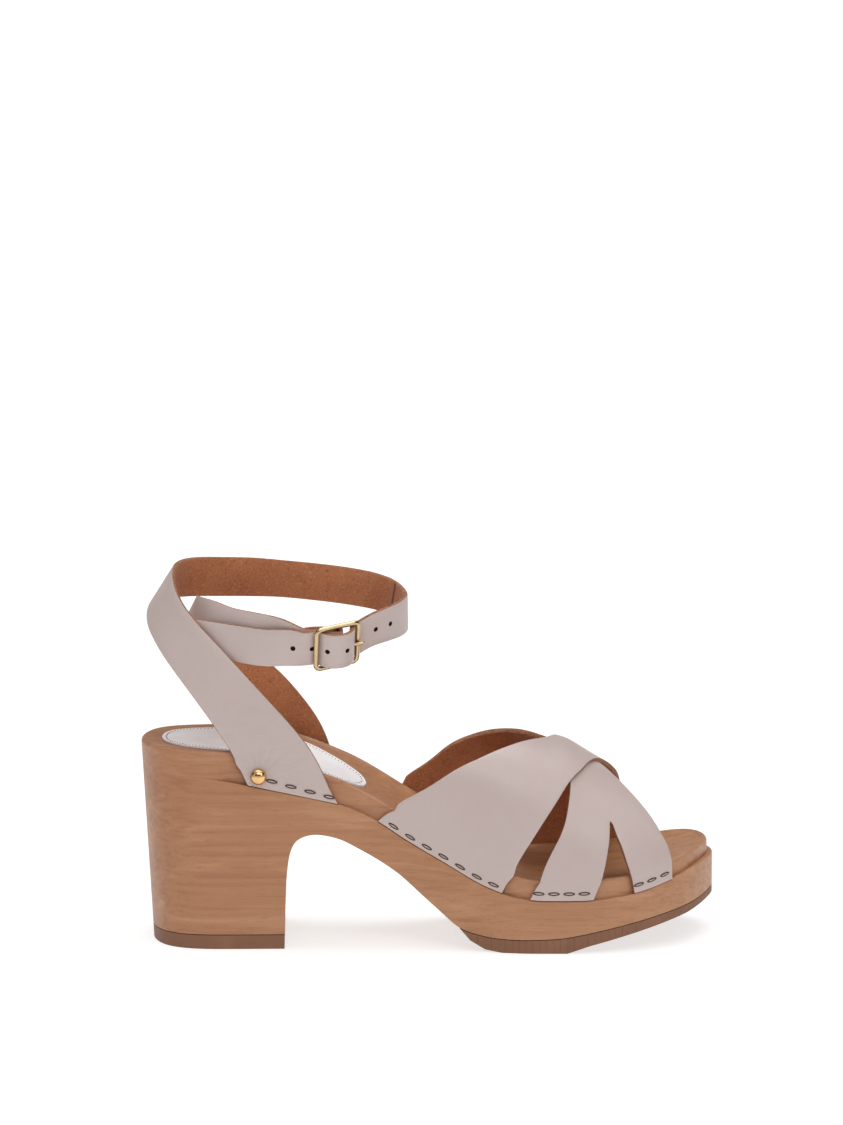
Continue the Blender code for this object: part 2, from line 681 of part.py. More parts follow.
def vamp_strap(name, over, material):
    """One forked strap: a patch on the last between its two edges, given its thickness outwards."""
    first = 1 if over else 3
    rear, front = (smooth_curve(VAMP_EDGES, first + column) for column in (0, 1))
    tine_front, tine_rear = (smooth_curve(FORKS, first + column) for column in (0, 1))
    start = FORKS[0][0]
    girths = np.concatenate([
        np.linspace(-1, -UPRIGHT, 3)[:-1],
        np.linspace(-UPRIGHT, start, 21),
        [row[0] for row in FORKS[1:-1]],
        [1.0],
    ])
    across = 4  # columns in each half
    points, index = [], {}

    def vertex(row, column, half):
        girth = girths[row]
        forked = girth > start + 1e-6
        key = (row, column, half if forked or column != across else 0)
        if key not in index:
            low, high = rear(girth), front(girth)
            if forked:
                split = (tine_front(girth), tine_rear(girth))[half]
            else:
                closing = smooth_step(girth, -1.0, start)
                split = (low + high) / 2 * (1 - closing) + tine_front(start) * closing
            low, high = (low, split) if half == 0 else (split, high)
            share = low + (high - low) * (column - half * across) / across
            raised = 1 - smooth_step(abs(girth), 0.46, UPRIGHT)
            lift = raised * (LEATHER - WELD) if over else 0.0
            index[key] = len(points)
            points.append(on_last(share, girth if over else -girth, lift))
        return index[key]

    faces = []
    for row in range(len(girths) - 1):
        for half in (0, 1):
            for column in range(half * across, (half + 1) * across):
                corners = [(row, column), (row, column + 1), (row + 1, column + 1), (row + 1, column)]
                face = [vertex(r, c, half) for r, c in corners]
                faces.append(face if over else face[::-1])
    mesh = bpy.data.meshes.new(name)
    mesh.from_pydata(points, [], faces)
    obj = bpy.data.objects.new(name, mesh)
    bpy.context.collection.objects.link(obj)
    mesh.shade_smooth()
    mesh.materials.append(material)
    wall = obj.modifiers.new("leather", "SOLIDIFY")
    wall.thickness = LEATHER
    wall.offset = 1
    return obj


def vamp_straps(material):
    under = vamp_strap("under_vamp_strap", False, material)
    over = vamp_strap("vamp_straps", True, material)
    return combine(over, under, "UNION")


def ankle_base_z():
    return ledge(ANKLE_BASE_X) + GAP


def strap_section(row):
    """Middle of the section, its direction from the rear or lower edge to the other, width, thickness."""
    x, y, z, lean, flare, width = row
    middle = Vector((
        ANKLE_BASE_X + x * ANKLE_LENGTH,
        y * ANKLE_WIDTH / 2,
        ankle_base_z() + z * ANKLE_RISE,
    ))
    lean, flare = radians(lean), radians(flare)
    across = Vector((sin(lean) * cos(flare), sin(flare), cos(lean) * cos(flare)))
    return (*middle, *across, width * STRAP_WIDTH, LEATHER)


def base_ends(side):
    """Rear and front end of each of the strap's sections in the recess, clear of the curved side."""

    def at_wall(x):
        return side_y(x, side, DEPTH(along(x)) * RECESS_DEPTH - WALL_GAP - LEATHER / 2)

    found = []
    for rise, rear_back, *front_back in BASE_ROWS:
        ends = []
        for sign, back in ((-1, rear_back), (1, front_back[side == MEDIAL])):
            x = ANKLE_BASE_X + sign * ANKLE_BASE_LENGTH / 2
            z = ledge(x) + GAP + rise * ANKLE_RISE
            ends.append(Vector((x - back * ANKLE_LENGTH, at_wall(x), z)))
        between = [ends[0].lerp(ends[1], share) for share in (0.2, 0.4, 0.6, 0.8)]
        proud = max(0, *(side * (at_wall(place.x) - place.y) for place in between))
        found.append([end + Vector((0, side * proud, 0)) for end in ends])
    return found


def base_sections(side):
    """The strap's lower end, section by section, up to the footbed edge."""
    sections = []
    for rear, front in base_ends(side):
        span = front - rear
        sections.append((*(rear + span / 2), *span.normalized(), span.length, LEATHER))
    return sections


def buckle_axes():
    """Middle of the buckle, and its directions along the strap, across it and outwards."""
    middle = Vector(strap_section((*BUCKLE_AT, 0, 0, 1))[:3])
    yaw, pitch, lean = radians(BUCKLE_YAW), radians(BUCKLE_PITCH), radians(BUCKLE_LEAN)
    forward = Vector((cos(pitch) * cos(yaw), cos(pitch) * sin(yaw), sin(pitch)))
    sideways = Vector((sin(yaw), -cos(yaw), 0))
    across = sideways.cross(forward) * cos(lean) + sideways * sin(lean)
    return middle, forward, across, forward.cross(across)


def in_buckle(u, depth, v=0.0):
    middle, forward, across, outward = buckle_axes()
    return middle + forward * u + across * v + outward * depth


def buckle_section(u, depth, width=STRAP_AT_BUCKLE, v=0.0, thickness=LEATHER):
    return (*in_buckle(u, depth, v), *buckle_axes()[2], width, thickness)


SIDE_BAR = BUCKLE_LENGTH / 2 - WIRE / 2
ROUND_BAR = WIRE / 2 + GAP + TURN_ROOM + LEATHER / 2  # from a bar's middle to the strap's middle
ROUND_CENTRE = WIRE / 2 + GAP + SKIVED / 2
STRAP_SLACK = 1.1 * MM  # how far the long strap stands off the folded end below it
CREST_IN_BUCKLE = -BAR_DROP + ROUND_CENTRE + SKIVED / 2 + GAP + LEATHER / 2 + STRAP_SLACK
BEHIND_BAR = -ROUND_BAR - LEATHER / 2 - GAP - SKIVED / 2


def around(bar, radius, angle):
    """A place round one of the buckle's bars, along the strap and outwards; 90 degrees is outermost."""
    u, depth = bar
    return u + radius * cos(radians(angle)), depth + radius * sin(radians(angle))


def strap_through_buckle():
    """The long strap goes under the front bar, over the centre bar and under the rear bar."""
    front, rear = (SIDE_BAR, 0), (-SIDE_BAR, 0)
    route = [
        (SIDE_BAR + 3.9 * MM, -ROUND_BAR - 0.1 * MM, 1.1 * MM),
        (SIDE_BAR + 1.3 * MM, -ROUND_BAR, 0.1 * MM),
    ]
    places = [around(front, ROUND_BAR, -112), around(front, ROUND_BAR, -155)]
    places += [(u * SIDE_BAR, rise * CREST_IN_BUCKLE) for u, rise in OVER_CENTRE]
    places += [around(rear, ROUND_BAR, -20), around(rear, ROUND_BAR, -65)]
    route += [(u, depth, -BUCKLE_ROOM / 2) for u, depth in places]
    route.append((-SIDE_BAR - 1.2 * MM, -ROUND_BAR - 0.1 * MM, 0))
    route.append((-SIDE_BAR - 4.3 * MM, -ROUND_BAR - 0.8 * MM, 0))
    return [buckle_section(u, depth, v=v) for u, depth, v in route]


def strap_round_centre_bar():
    """The short strap comes in behind the long one, goes over the centre bar and folds back inside."""
    flap = BEHIND_BAR - SKIVED - 2 * GAP
    centre = (0, -BAR_DROP)
    rows = [
        buckle_section(-SIDE_BAR - 4.2 * MM, BEHIND_BAR - 1.5 * MM, v=1.0 * MM, thickness=1.2 * SKIVED),
        buckle_section(-SIDE_BAR - 1.0 * MM, BEHIND_BAR - 0.3 * MM, thickness=SKIVED),
    ]
    for u, depth in SHORT_IN:
        rows.append(buckle_section(u * SIDE_BAR, depth * BEHIND_BAR, thickness=SKIVED))
    for turn in range(130, -81, -30):
        rows.append(buckle_section(*around(centre, ROUND_CENTRE, turn), thickness=SKIVED))
    for u, depth in FLAP_OUT:
        rows.append(buckle_section(u * SIDE_BAR, depth * flap, thickness=SKIVED))
    rows.append(buckle_section(-FLAP_LENGTH, 1.14 * flap, 0.94 * STRAP_AT_BUCKLE, thickness=SKIVED))
    return rows


def strap_mesh(name, sections, material):
    """A band of leather through the sections, closed at both ends."""
    middles, across, widths, thickness = np.split(sections, (3, 6, 7), axis=1)
    across = across / np.linalg.norm(across, axis=1)[:, None]
    forward = np.gradient(middles, axis=0)
    outward = np.cross(forward, across)
    outward /= np.linalg.norm(outward, axis=1)[:, None]
    lower, upper = middles - across * widths / 2, middles + across * widths / 2
    skin = outward * thickness / 2
    corners = np.stack([lower + skin, upper + skin, upper - skin, lower - skin], axis=1)
    count = len(sections)
    faces = ring_faces(4, count) + [(3, 2, 1, 0), tuple(4 * (count - 1) + i for i in range(4))]
    return add_mesh(name, corners.reshape(-1, 3), faces, material)


def tube(name, points, radius, material, closed=False):
    """A round wire along the points."""
    curve = bpy.data.curves.new(name, "CURVE")
    curve.dimensions = "3D"
    curve.bevel_depth = radius
    curve.bevel_resolution = 2
    curve.use_fill_caps = not closed
    spline = curve.splines.new("POLY")
    spline.points.add(len(points) - 1)
    for slot, point in zip(spline.points, points):
        slot.co = (*point, 1)
    spline.use_cyclic_u = closed
    holder = bpy.data.objects.new(name, curve)
    mesh = bpy.data.meshes.new_from_object(holder)
    bpy.data.objects.remove(holder)
    obj = bpy.data.objects.new(name, mesh)
    bpy.context.collection.objects.link(obj)
    shape = bmesh.new()
    shape.from_mesh(mesh)
    bmesh.ops.remove_doubles(shape, verts=shape.verts, dist=1e-6)
    bmesh.ops.recalc_face_normals(shape, faces=shape.faces)
    shape.to_mesh(mesh)
    shape.free()
    mesh.shade_smooth()
    mesh.materials.clear()
    mesh.materials.append(material)
    return obj


RING_POINTS = 10


def prong_route():
    """Wire of the prong: round the centre bar, through the strap beside the front bar, onto that bar."""
    ring = WIRE / 2 + GAP + PRONG_WIRE / 2
    route = [around((0, -BAR_DROP), ring, 10 - 280 * step / RING_POINTS) for step in range(RING_POINTS + 1)]
    leaving = ring - BAR_DROP
    for u, climb in ((0.30, 0.0), (0.58, 0.05), (0.80, 0.45), (1.0, 1.0)):
        route.append((u * SIDE_BAR, leaving + climb * BAR_DROP))
    route.append((SIDE_BAR + 1.9 * MM, ring - 0.1 * MM))
    return [in_buckle(u, depth) for u, depth in route]


def buckle_frame(material):
    """Rectangular frame with round corners, and a centre bar that drops behind it."""
    half_height = STRAP_AT_BUCKLE / 2 + BUCKLE_ROOM + WIRE / 2
    corner = 2.2 * MM
    ring = []
    for quarter, (su, sv) in enumerate(((1, 1), (-1, 1), (-1, -1), (1, -1))):
        for step in range(5):
            angle = radians(90 * quarter + 22.5 * step)
            u = su * (SIDE_BAR - corner) + corner * cos(angle)
            v = sv * (half_height - corner) + corner * sin(angle)
            ring.append(in_buckle(u, 0, v))
    frame = tube("buckle_frame", ring, WIRE / 2, material, closed=True)
    stops = [(half_height, 0), (half_height - 1.5 * BAR_DROP, -BAR_DROP)]
    stops += [(-v, depth) for v, depth in stops[::-1]]
    bar = tube("centre_bar", [in_buckle(0, depth, v) for v, depth in stops], WIRE / 2 * 0.98, material)
    return combine(frame, bar, "UNION")


def long_strap_sections():
    rows = base_sections(LATERAL)
    rows += [strap_section(row) for row in LONG_STRAP]
    rows += strap_through_buckle()
    rows += [strap_section(row) for row in LONG_STRAP_TAIL]
    return through(rows, STRAP_STEPS)


def short_strap_sections():
    rows = base_sections(MEDIAL)
    rows += [strap_section(row) for row in SHORT_STRAP]
    rows += strap_round_centre_bar()
    return through(rows, STRAP_STEPS)


def hole_punches(sections):
    """Punches for the adjusting holes, one pitch apart, from the buckle's front bar both ways."""
    middles = sections[:, :3]
    run = np.concatenate([[0], np.cumsum(np.linalg.norm(np.diff(middles, axis=0), axis=1))])
    front_bar = np.array(in_buckle(SIDE_BAR, -ROUND_BAR))
    start = run[np.argmin(np.linalg.norm(middles - front_bar, axis=1))]
    points, faces = [], []
    places = [start + HOLE_BEHIND_BAR + step * HOLE_PITCH for step in range(4)]
    places += [start - HOLE_AHEAD_OF_BAR - step * HOLE_PITCH for step in range(2)]
    for distance in places:
        middle = Vector([np.interp(distance, run, middles[:, i]) for i in range(3)])
        ahead = Vector([np.interp(distance + MM, run, middles[:, i]) for i in range(3)])
        across = Vector([np.interp(distance, run, sections[:, 3 + i]) for i in range(3)]).normalized()
        forward = (ahead - middle).normalized()
        outward = forward.cross(across)
        first = len(points)
        for reach in (-1.2 * LEATHER, 1.2 * LEATHER):
            for turn in range(8):
                angle = radians(45 * turn)
                spoke = forward * cos(angle) + across * sin(angle)
                points.append(middle + spoke * HOLE_DIAMETER / 2 + outward * reach)
        faces += [tuple(first + i for i in face) for face in ring_faces(8, 2)]
        faces += [tuple(range(first + 7, first - 1, -1)), tuple(range(first + 8, first + 16))]
    return add_mesh("hole_punches", points, faces)


def ankle_strap_lateral(material):
    sections = long_strap_sections()
    strap = strap_mesh("ankle_strap_lateral", sections, material)
    combine(strap, hole_punches(sections), "DIFFERENCE")
    clearance = tube("prong_clearance", prong_route()[RING_POINTS + 1 :], PRONG_WIRE / 2 + GAP, material)
    return combine(strap, clearance, "DIFFERENCE")


def ankle_strap_medial(material):
    strap = strap_mesh("ankle_strap_medial", short_strap_sections(), material)
    half = PRONG_WIRE / 2 + GAP
    reach = WIRE / 2 + GAP + PRONG_WIRE + GAP
    points = [
        in_buckle(u, depth, v)
        for u in (-reach, reach)
        for depth in (-2.5 * reach, 2.5 * reach)
        for v in (-half, half)
    ]
    faces = [(0, 1, 3, 2), (4, 6, 7, 5), (0, 4, 5, 1), (2, 3, 7, 6), (0, 2, 6, 4), (1, 5, 7, 3)]
    return combine(strap, add_mesh("prong_slot", points, faces), "DIFFERENCE")


def wall_place(x, side, height, out):
    """A place on the outside of a strap's lower end: its point, and along, up and outward directions."""

    def point(at):
        inset = DEPTH(along(at)) * RECESS_DEPTH - WALL_GAP - LEATHER
        return Vector((at, side_y(at, side, inset), ledge(at) + GAP + height))

    forward = (point(x + MM) - point(x - MM)).normalized()
    outward = forward.cross(Vector((0, 0, 1))).normalized() * -side
    return point(x) + outward * out, forward, outward


def ankle_place(x, side, height, out):
    """The same on the lower end of an ankle strap, which is straight between its ends."""
    lower, upper = base_ends(side)
    rise = height / (BASE_ROWS[1][0] * ANKLE_RISE)
    rear, front = lower[0].lerp(upper[0], rise), lower[1].lerp(upper[1], rise)
    forward = (front - rear).normalized()
    outward = forward.cross(Vector((0, 0, 1))).normalized() * -side
    share = (x - rear.x) / (front.x - rear.x)
    return rear.lerp(front, share) + outward * (LEATHER / 2 + out), forward, outward


def staple(name, place, material):
    """Crown of one staple, a flat bar with round ends. Its legs are buried in leather and wood."""
    middle, forward, outward = place
    up = outward.cross(forward)
    reach, radius = (STAPLE_LENGTH - STAPLE_WIDTH) / 2, STAPLE_WIDTH / 2
    points = []
    for depth, narrow in ((-0.5, 1.0), (0.2, 1.0), (0.5, 0.7)):
        for end in (1, -1):
            for turn in (-90, -30, 30, 90):
                angle = radians(turn)
                u = end * (reach + radius * narrow * cos(angle))
                v = end * radius * narrow * sin(angle)
                points.append(middle + forward * u + up * v + outward * depth * STAPLE_THICKNESS)
    faces = ring_faces(8, 3) + [tuple(range(7, -1, -1)), tuple(range(16, 24))]
    return add_mesh(name, points, faces, material)


def dome_nail(name, side, material):
    first_staple = ANKLE_BASE_X + (ANKLE_STAPLES[2] - 0.5) * ANKLE_BASE_LENGTH
    place = ankle_place(first_staple - NAIL_TO_STAPLE, side, NAIL_HEIGHT, GAP)
    middle, forward, outward = place
    up = outward.cross(forward)
    radius = NAIL_DIAMETER / 2
    points = []
    for turn in (0, 22, 44, 66):
        for spoke in range(16):
            angle = radians(22.5 * spoke)
            flat = (forward * cos(angle) + up * sin(angle)) * radius * cos(radians(turn))
            points.append(middle + flat + outward * (0.5 * MM + 0.8 * radius * sin(radians(turn))))
    skirt = [p - outward * 0.5 * MM for p in points[:16]]
    points = skirt + points + [middle + outward * (0.5 * MM + 0.8 * radius)]
    faces = ring_faces(16, 5) + [tuple(range(15, -1, -1))]
    faces += [(64 + i, 64 + (i + 1) % 16, 80) for i in range(16)]
    return add_mesh(name, points, faces, material)


def fastenings(steel, brass):
    ankle_from = along(ANKLE_BASE_X - ANKLE_BASE_LENGTH / 2)
    ankle_to = along(ANKLE_BASE_X + ANKLE_BASE_LENGTH / 2)
    for word, side in (("lateral", LATERAL), ("medial", MEDIAL)):
        bases = [*BASES, (word, ANKLE_STAPLES[0], ankle_from, ankle_to, *ANKLE_STAPLES[1:])]
        for foot_side, place, start, end, count, first, last, low, high in bases:
            if foot_side != word:
                continue
            for number in range(count):
                step = number / (count - 1)
                x = at_share(start + (first + (last - first) * step) * (end - start))
                on_strap = ankle_place if place == ANKLE_STAPLES[0] else wall_place
                spot = on_strap(x, side, low + (high - low) * step, GAP + STAPLE_THICKNESS / 2)
                staple(f"staple_{word}_{place}_{number + 1}", spot, steel)
        dome_nail(f"dome_nail_{word}", side, brass)


def main():
    clear_scene()
    wood = finish_of("alder_wood", (0.39, 0.20, 0.11), 0.5)
    rubber = finish_of("rubber", (0.19, 0.09, 0.045), 0.7)
    leather = finish_of("pale_leather", (0.55, 0.46, 0.44), 0.45)
    pad = finish_of("sock_pad", (0.60, 0.58, 0.58), 0.6)
    gold = finish_of("pale_gold", (0.72, 0.56, 0.34), 0.25, 1.0)
    brass = finish_of("brass", (0.80, 0.55, 0.22), 0.18, 1.0)
    steel = finish_of("staple_steel", (0.30, 0.29, 0.28), 0.4, 1.0)
    wooden_sole(wood)
    forefoot_outsole(rubber)
    heel_lift(rubber)
    heel_sock(pad)
    vamp_straps(leather)
    ankle_strap_lateral(leather)
    ankle_strap_medial(leather)
    buckle_frame(gold)
    tube("buckle_prong", prong_route(), PRONG_WIRE / 2, gold)
    fastenings(steel, brass)


main()
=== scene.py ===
from math import cos, pi, radians, sin
import json

import bmesh
import bpy
import numpy as np
from mathutils import Matrix, Vector

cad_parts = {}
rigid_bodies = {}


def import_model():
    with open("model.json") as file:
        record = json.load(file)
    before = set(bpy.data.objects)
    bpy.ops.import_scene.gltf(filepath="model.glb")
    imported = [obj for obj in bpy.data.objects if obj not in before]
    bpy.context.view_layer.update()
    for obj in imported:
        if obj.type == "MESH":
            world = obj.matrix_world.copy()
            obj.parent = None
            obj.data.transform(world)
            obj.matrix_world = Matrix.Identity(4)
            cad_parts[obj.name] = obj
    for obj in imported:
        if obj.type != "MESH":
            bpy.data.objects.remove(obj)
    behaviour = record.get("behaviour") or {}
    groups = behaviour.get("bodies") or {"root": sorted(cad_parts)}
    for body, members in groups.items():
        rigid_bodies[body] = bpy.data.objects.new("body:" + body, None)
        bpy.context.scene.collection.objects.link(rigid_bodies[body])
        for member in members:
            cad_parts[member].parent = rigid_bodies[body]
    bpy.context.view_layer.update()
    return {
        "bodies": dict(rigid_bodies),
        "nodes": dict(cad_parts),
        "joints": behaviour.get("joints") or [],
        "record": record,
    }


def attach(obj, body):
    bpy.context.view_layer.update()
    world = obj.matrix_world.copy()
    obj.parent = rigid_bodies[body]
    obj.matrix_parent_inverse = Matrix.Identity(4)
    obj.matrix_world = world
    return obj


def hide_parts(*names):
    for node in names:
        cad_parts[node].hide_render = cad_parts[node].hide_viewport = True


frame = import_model()
print("frame loaded")

mm = 0.001
lateral, medial = -1, 1

sole = {
    "length": 229 * mm,  # heel back to toe tip
    "back": -30.4 * mm,  # where the heel back stands, from the middle of the heel's floor face
    "ballWidth": 89 * mm,
    "heelWidth": 62 * mm,
    "seatHeight": 80.2 * mm,  # footbed edge at the heel back
    "platformHeight": 28.4 * mm,  # footbed edge at the ball
    "toeSpring": 9.4 * mm,  # how far the footbed edge rises again at the toe tip
    "recessHeight": 7.6 * mm,  # from the ledge up to the footbed edge at the ball
    "recessDepth": 2.2 * mm,  # how far the strap recess is cut into the side
    "recessLeast": 0.004 * mm,  # its depth where it has faded out at the heel
    "archLift": 4.0 * mm,  # how much higher the footbed edge is on the medial side at the arch
    "dishDepth": 3.0 * mm,  # how deep the footbed is carved
    "edgeRound": 1.5 * mm,
    "ledgeSoft": 0.6 * mm,  # how much the ledge's corner is sanded off
    "heelLean": 4.6 * mm,  # how far the heel back leans forwards on its way down
    "breastX": 26.6 * mm,  # front face of the heel at the floor
    "archTop": 45.4 * mm,  # highest point of the arch under the waist
    "bottom": 5.4 * mm,  # wood above the floor at the ball
    "toeBottom": 19.4 * mm,  # wood above the floor at the toe tip
}
tread = {
    "liftThickness": 5.5 * mm,
    "backX": 95.5 * mm,  # rear edge of the forefoot rubber
    "atToe": 2.8 * mm,
    "flatFrom": 112.0 * mm,  # the flat spot that the forefoot stands on
    "flatTo": 137.5 * mm,
    "bevel": ((0.6, 1.1 * mm), (0.25, 4.4 * mm)),  # shares from rear edge to flat, and heights
}
upper = {
    "thickness": 1.8 * mm,
    "vampRise": 53.6 * mm,  # crest of the vamp above the footbed edge at the ball
    "crossGap": 0.05 * mm,  # between the two vamp straps where they cross
    "crossFrom": 0.46,  # girth at which the over strap starts to come down beside the other
    "edgeEase": 0.09,  # how far along the girth the straps' edges are smoothed
    "forkEase": 0.02,
    "corner": radians(50),  # the angle between two faces that shows as a cut edge
    "edgeSoft": 0.3 * mm,
    "upright": 0.86,  # girth at which the straps turn from the last's curve to the upright recess
}
ankle = {
    "length": 104.5 * mm,
    "width": 54 * mm,
    "rise": 79.3 * mm,  # from the strap's base up to the loop
    "baseX": 30 * mm,
    "baseLength": 35.8 * mm,  # how long the strap's lower end is on the sole
    "strapWidth": 15 * mm,
    "atBuckle": 14.4 * mm,
    "hole": 2.0 * mm,
    "holePitch": 7.4 * mm,
    "holeBehindBar": 10.3 * mm,  # from the buckle's front bar back to the next hole
    "holeAheadOfBar": 8.9 * mm,
    "punchReach": (-1.2, 0.3),  # from inside to outside, in strap thicknesses
    "holeSpokes": 24,
    "skived": 1.2 * mm,  # the short strap's end, thinned where it folds round the centre bar
    "flapLength": 12.5 * mm,  # how far the folded end reaches back from the centre bar
    "slack": 1.1 * mm,  # how far the long strap stands off the folded end below it
}
buckle = {
    "wire": 2.0 * mm,  # how thick the frame's wire is
    "length": 20 * mm,
    "barDrop": 0.6 * mm,  # how far the centre bar lies inside the frame
    "room": 0.6 * mm,  # between the strap and the frame on both sides
    "strapInside": 15.0 * mm,  # how wide the long strap is where it runs through the frame
    "turnRoom": 0.25 * mm,  # extra room where a strap bends round a bar
    "prongWire": 1.4 * mm,
    "prongEnd": 1.9 * mm,  # how far the prong reaches past the middle of the front bar
    "corner": 2.2 * mm,
    "yaw": 24.0,
    "pitch": 8.0,
    "lean": 21.5,  # how far the buckle's upper side leans outwards
    "ringPoints": 10,
}
fixing = {
    "nail": 6.5 * mm,
    "nailSkirt": 0.5 * mm,  # its upright rim
    "nailDome": 0.8,  # height of the dome as a share of its radius
    "nailSpokes": 48,
    "stapleLength": 4.2 * mm,
    "stapleWidth": 1.3 * mm,
    "ankleLift": 0.28 * mm,  # lifts the ankle straps' staples out of the bulging leather
    "crown": (0.76, 0.42, 0.5 * mm, 0.16 * mm),  # shares of length and width, thickness, lift
    # painted shade: a dark flat oval round each staple stands for the shaded dimple in the leather
    "dentShade": (1.12, 1.18, 0.26 * mm, 0.02 * mm),
}
pad = {
    "thickness": 0.7 * mm,
    "gap": 0.15 * mm,  # under the sock
}
room = {
    "gap": 0.3 * mm,  # between pieces that touch
    "wallGap": 0.65 * mm,  # between the sole's curved side and the straps on it
    "safe": 20 * mm,  # how far a cutter reaches past what it cuts
}

# Plan of the sole: along the sole, then half widths as shares of the local half width.
planTable = (
    # along, lateral, medial
    (0.000, 0.000, 0.000),
    (0.004, 0.310, 0.320),
    (0.017, 0.600, 0.620),
    (0.038, 0.800, 0.820),
    (0.070, 0.928, 0.940),
    (0.111, 0.988, 0.992),
    (0.155, 1.000, 1.000),
    (0.220, 1.000, 0.978),
    (0.286, 0.998, 0.918),
    (0.351, 0.960, 0.830),
    (0.417, 0.918, 0.757),
    (0.482, 0.895, 0.737),
    (0.548, 0.897, 0.770),
    (0.605, 0.925, 0.838),
    (0.657, 0.957, 0.912),
    (0.710, 0.971, 0.975),
    (0.766, 0.966, 1.018),
    (0.819, 0.917, 1.025),
    (0.867, 0.820, 0.993),
    (0.910, 0.681, 0.912),
    (0.945, 0.517, 0.800),
    (0.971, 0.310, 0.670),
    (0.989, 0.095, 0.505),
    (0.9975, -0.045, 0.350),
    (1.000, -0.190, 0.190),
)

# Side view of the sole. edge and ledge run from 0 at the ball to 1 at the seat, the two springs
# from 0 to 1 as the edge rises to the toe.
sideTable = (
    # along, edge, edge spring, ledge, ledge spring, recess depth, arch, dish
    (0.000, 1.000, 0.00, 0.950, 0.00, 0.00, 0.00, 0.00),
    (0.085, 0.980, 0.00, 0.930, 0.00, 0.00, 0.25, 0.35),
    (0.130, 0.965, 0.00, 0.904, 0.00, 0.25, 0.45, 0.45),
    (0.160, 0.952, 0.00, 0.880, 0.00, 1.00, 0.57, 0.55),
    (0.200, 0.930, 0.00, 0.845, 0.00, 1.00, 0.75, 0.70),
    (0.270, 0.868, 0.00, 0.780, 0.00, 1.00, 0.90, 1.00),
    (0.326, 0.777, 0.00, 0.728, 0.00, 1.00, 1.00, 1.15),
    (0.370, 0.694, 0.00, 0.667, 0.00, 1.00, 1.00, 1.20),
    (0.412, 0.594, 0.00, 0.572, 0.00, 1.00, 0.95, 1.15),
    (0.460, 0.465, 0.00, 0.435, 0.00, 1.00, 0.85, 1.00),
    (0.525, 0.300, 0.00, 0.271, 0.00, 1.00, 0.55, 0.90),
    (0.590, 0.140, 0.00, 0.110, 0.00, 1.00, 0.25, 1.00),
    (0.645, 0.040, 0.00, 0.026, 0.00, 1.00, 0.05, 1.15),
    (0.700, 0.000, 0.00, 0.000, 0.00, 1.00, 0.00, 1.20),
    (0.785, 0.000, 0.04, 0.000, 0.03, 1.00, 0.00, 1.20),
    (0.855, 0.000, 0.22, 0.000, 0.25, 1.00, 0.10, 1.00),
    (0.920, 0.000, 0.60, 0.000, 0.68, 1.00, 0.10, 0.70),
    (0.970, 0.000, 0.92, 0.000, 1.06, 1.00, 0.00, 0.35),
    (1.000, 0.000, 1.00, 0.000, 1.18, 1.00, 0.00, 0.00),
)

# Underside of the wood in front of the heel. arch is a share of the arch's top above the ball's
# underside, spring a share of the rise to the toe.
undersideTable = (
    # along, arch, spring
    (0.2525, 0.55, 0.00),
    (0.2560, 0.74, 0.00),
    (0.2620, 0.87, 0.00),
    (0.2720, 0.950, 0.00),
    (0.2900, 0.995, 0.00),
    (0.3120, 1.000, 0.00),
    (0.3450, 0.955, 0.00),
    (0.3780, 0.860, 0.00),
    (0.4140, 0.742, 0.00),
    (0.4480, 0.607, 0.00),
    (0.4820, 0.432, 0.00),
    (0.5160, 0.258, 0.00),
    (0.5500, 0.098, 0.00),
    (0.5920, 0.024, 0.00),
    (0.6370, 0.000, 0.00),
    (0.6860, 0.000, 0.01),
    (0.7300, 0.000, 0.06),
    (0.7900, 0.000, 0.24),
    (0.8860, 0.000, 0.54),
    (0.9700, 0.000, 0.82),
    (1.0300, 0.000, 1.12),
)

# Sections of the last that the vamp straps lie on. crest is a share of the vamp's rise, fullness
# is the exponent of the section's curve, where 2 is an ellipse.
lastTable = (
    # along, crest, fullness
    (0.400, 0.980, 3.2),
    (0.500, 0.990, 3.2),
    (0.570, 1.012, 3.0),
    (0.613, 1.010, 2.8),
    (0.657, 0.978, 2.5),
    (0.705, 0.903, 2.3),
    (0.740, 0.862, 2.05),
    (0.766, 0.795, 2.0),
    (0.788, 0.735, 2.0),
    (0.814, 0.670, 2.0),
    (0.836, 0.617, 2.0),
    (0.858, 0.562, 2.0),
    (0.884, 0.481, 2.0),
    (0.920, 0.347, 2.0),
)

# Edges of the two vamp straps, as places along the sole. girth runs from -1 at the strap's wide
# base over 0 at the crest to 1 at its tines. The over strap starts on the lateral side, the under
# strap on the medial side.
vampEdgeTable = (
    # girth, over rear, over front, under rear, under front
    (-1.000, 0.410, 0.623, 0.432, 0.623),
    (-0.860, 0.437, 0.641, 0.457, 0.636),
    (-0.790, 0.461, 0.659, 0.479, 0.654),
    (-0.655, 0.503, 0.688, 0.513, 0.688),
    (-0.505, 0.548, 0.718, 0.543, 0.722),
    (-0.413, 0.585, 0.733, 0.570, 0.738),
    (-0.290, 0.630, 0.757, 0.617, 0.757),
    (-0.186, 0.667, 0.771, 0.662, 0.771),
    (-0.040, 0.706, 0.789, 0.712, 0.791),
    (0.100, 0.725, 0.810, 0.727, 0.819),
    (0.220, 0.735, 0.830, 0.733, 0.844),
    (0.400, 0.738, 0.843, 0.739, 0.880),
    (0.515, 0.730, 0.848, 0.734, 0.893),
    (0.620, 0.719, 0.853, 0.728, 0.903),
    (0.735, 0.700, 0.858, 0.710, 0.909),
    (0.860, 0.676, 0.862, 0.686, 0.912),
    (1.000, 0.655, 0.864, 0.670, 0.913),
)

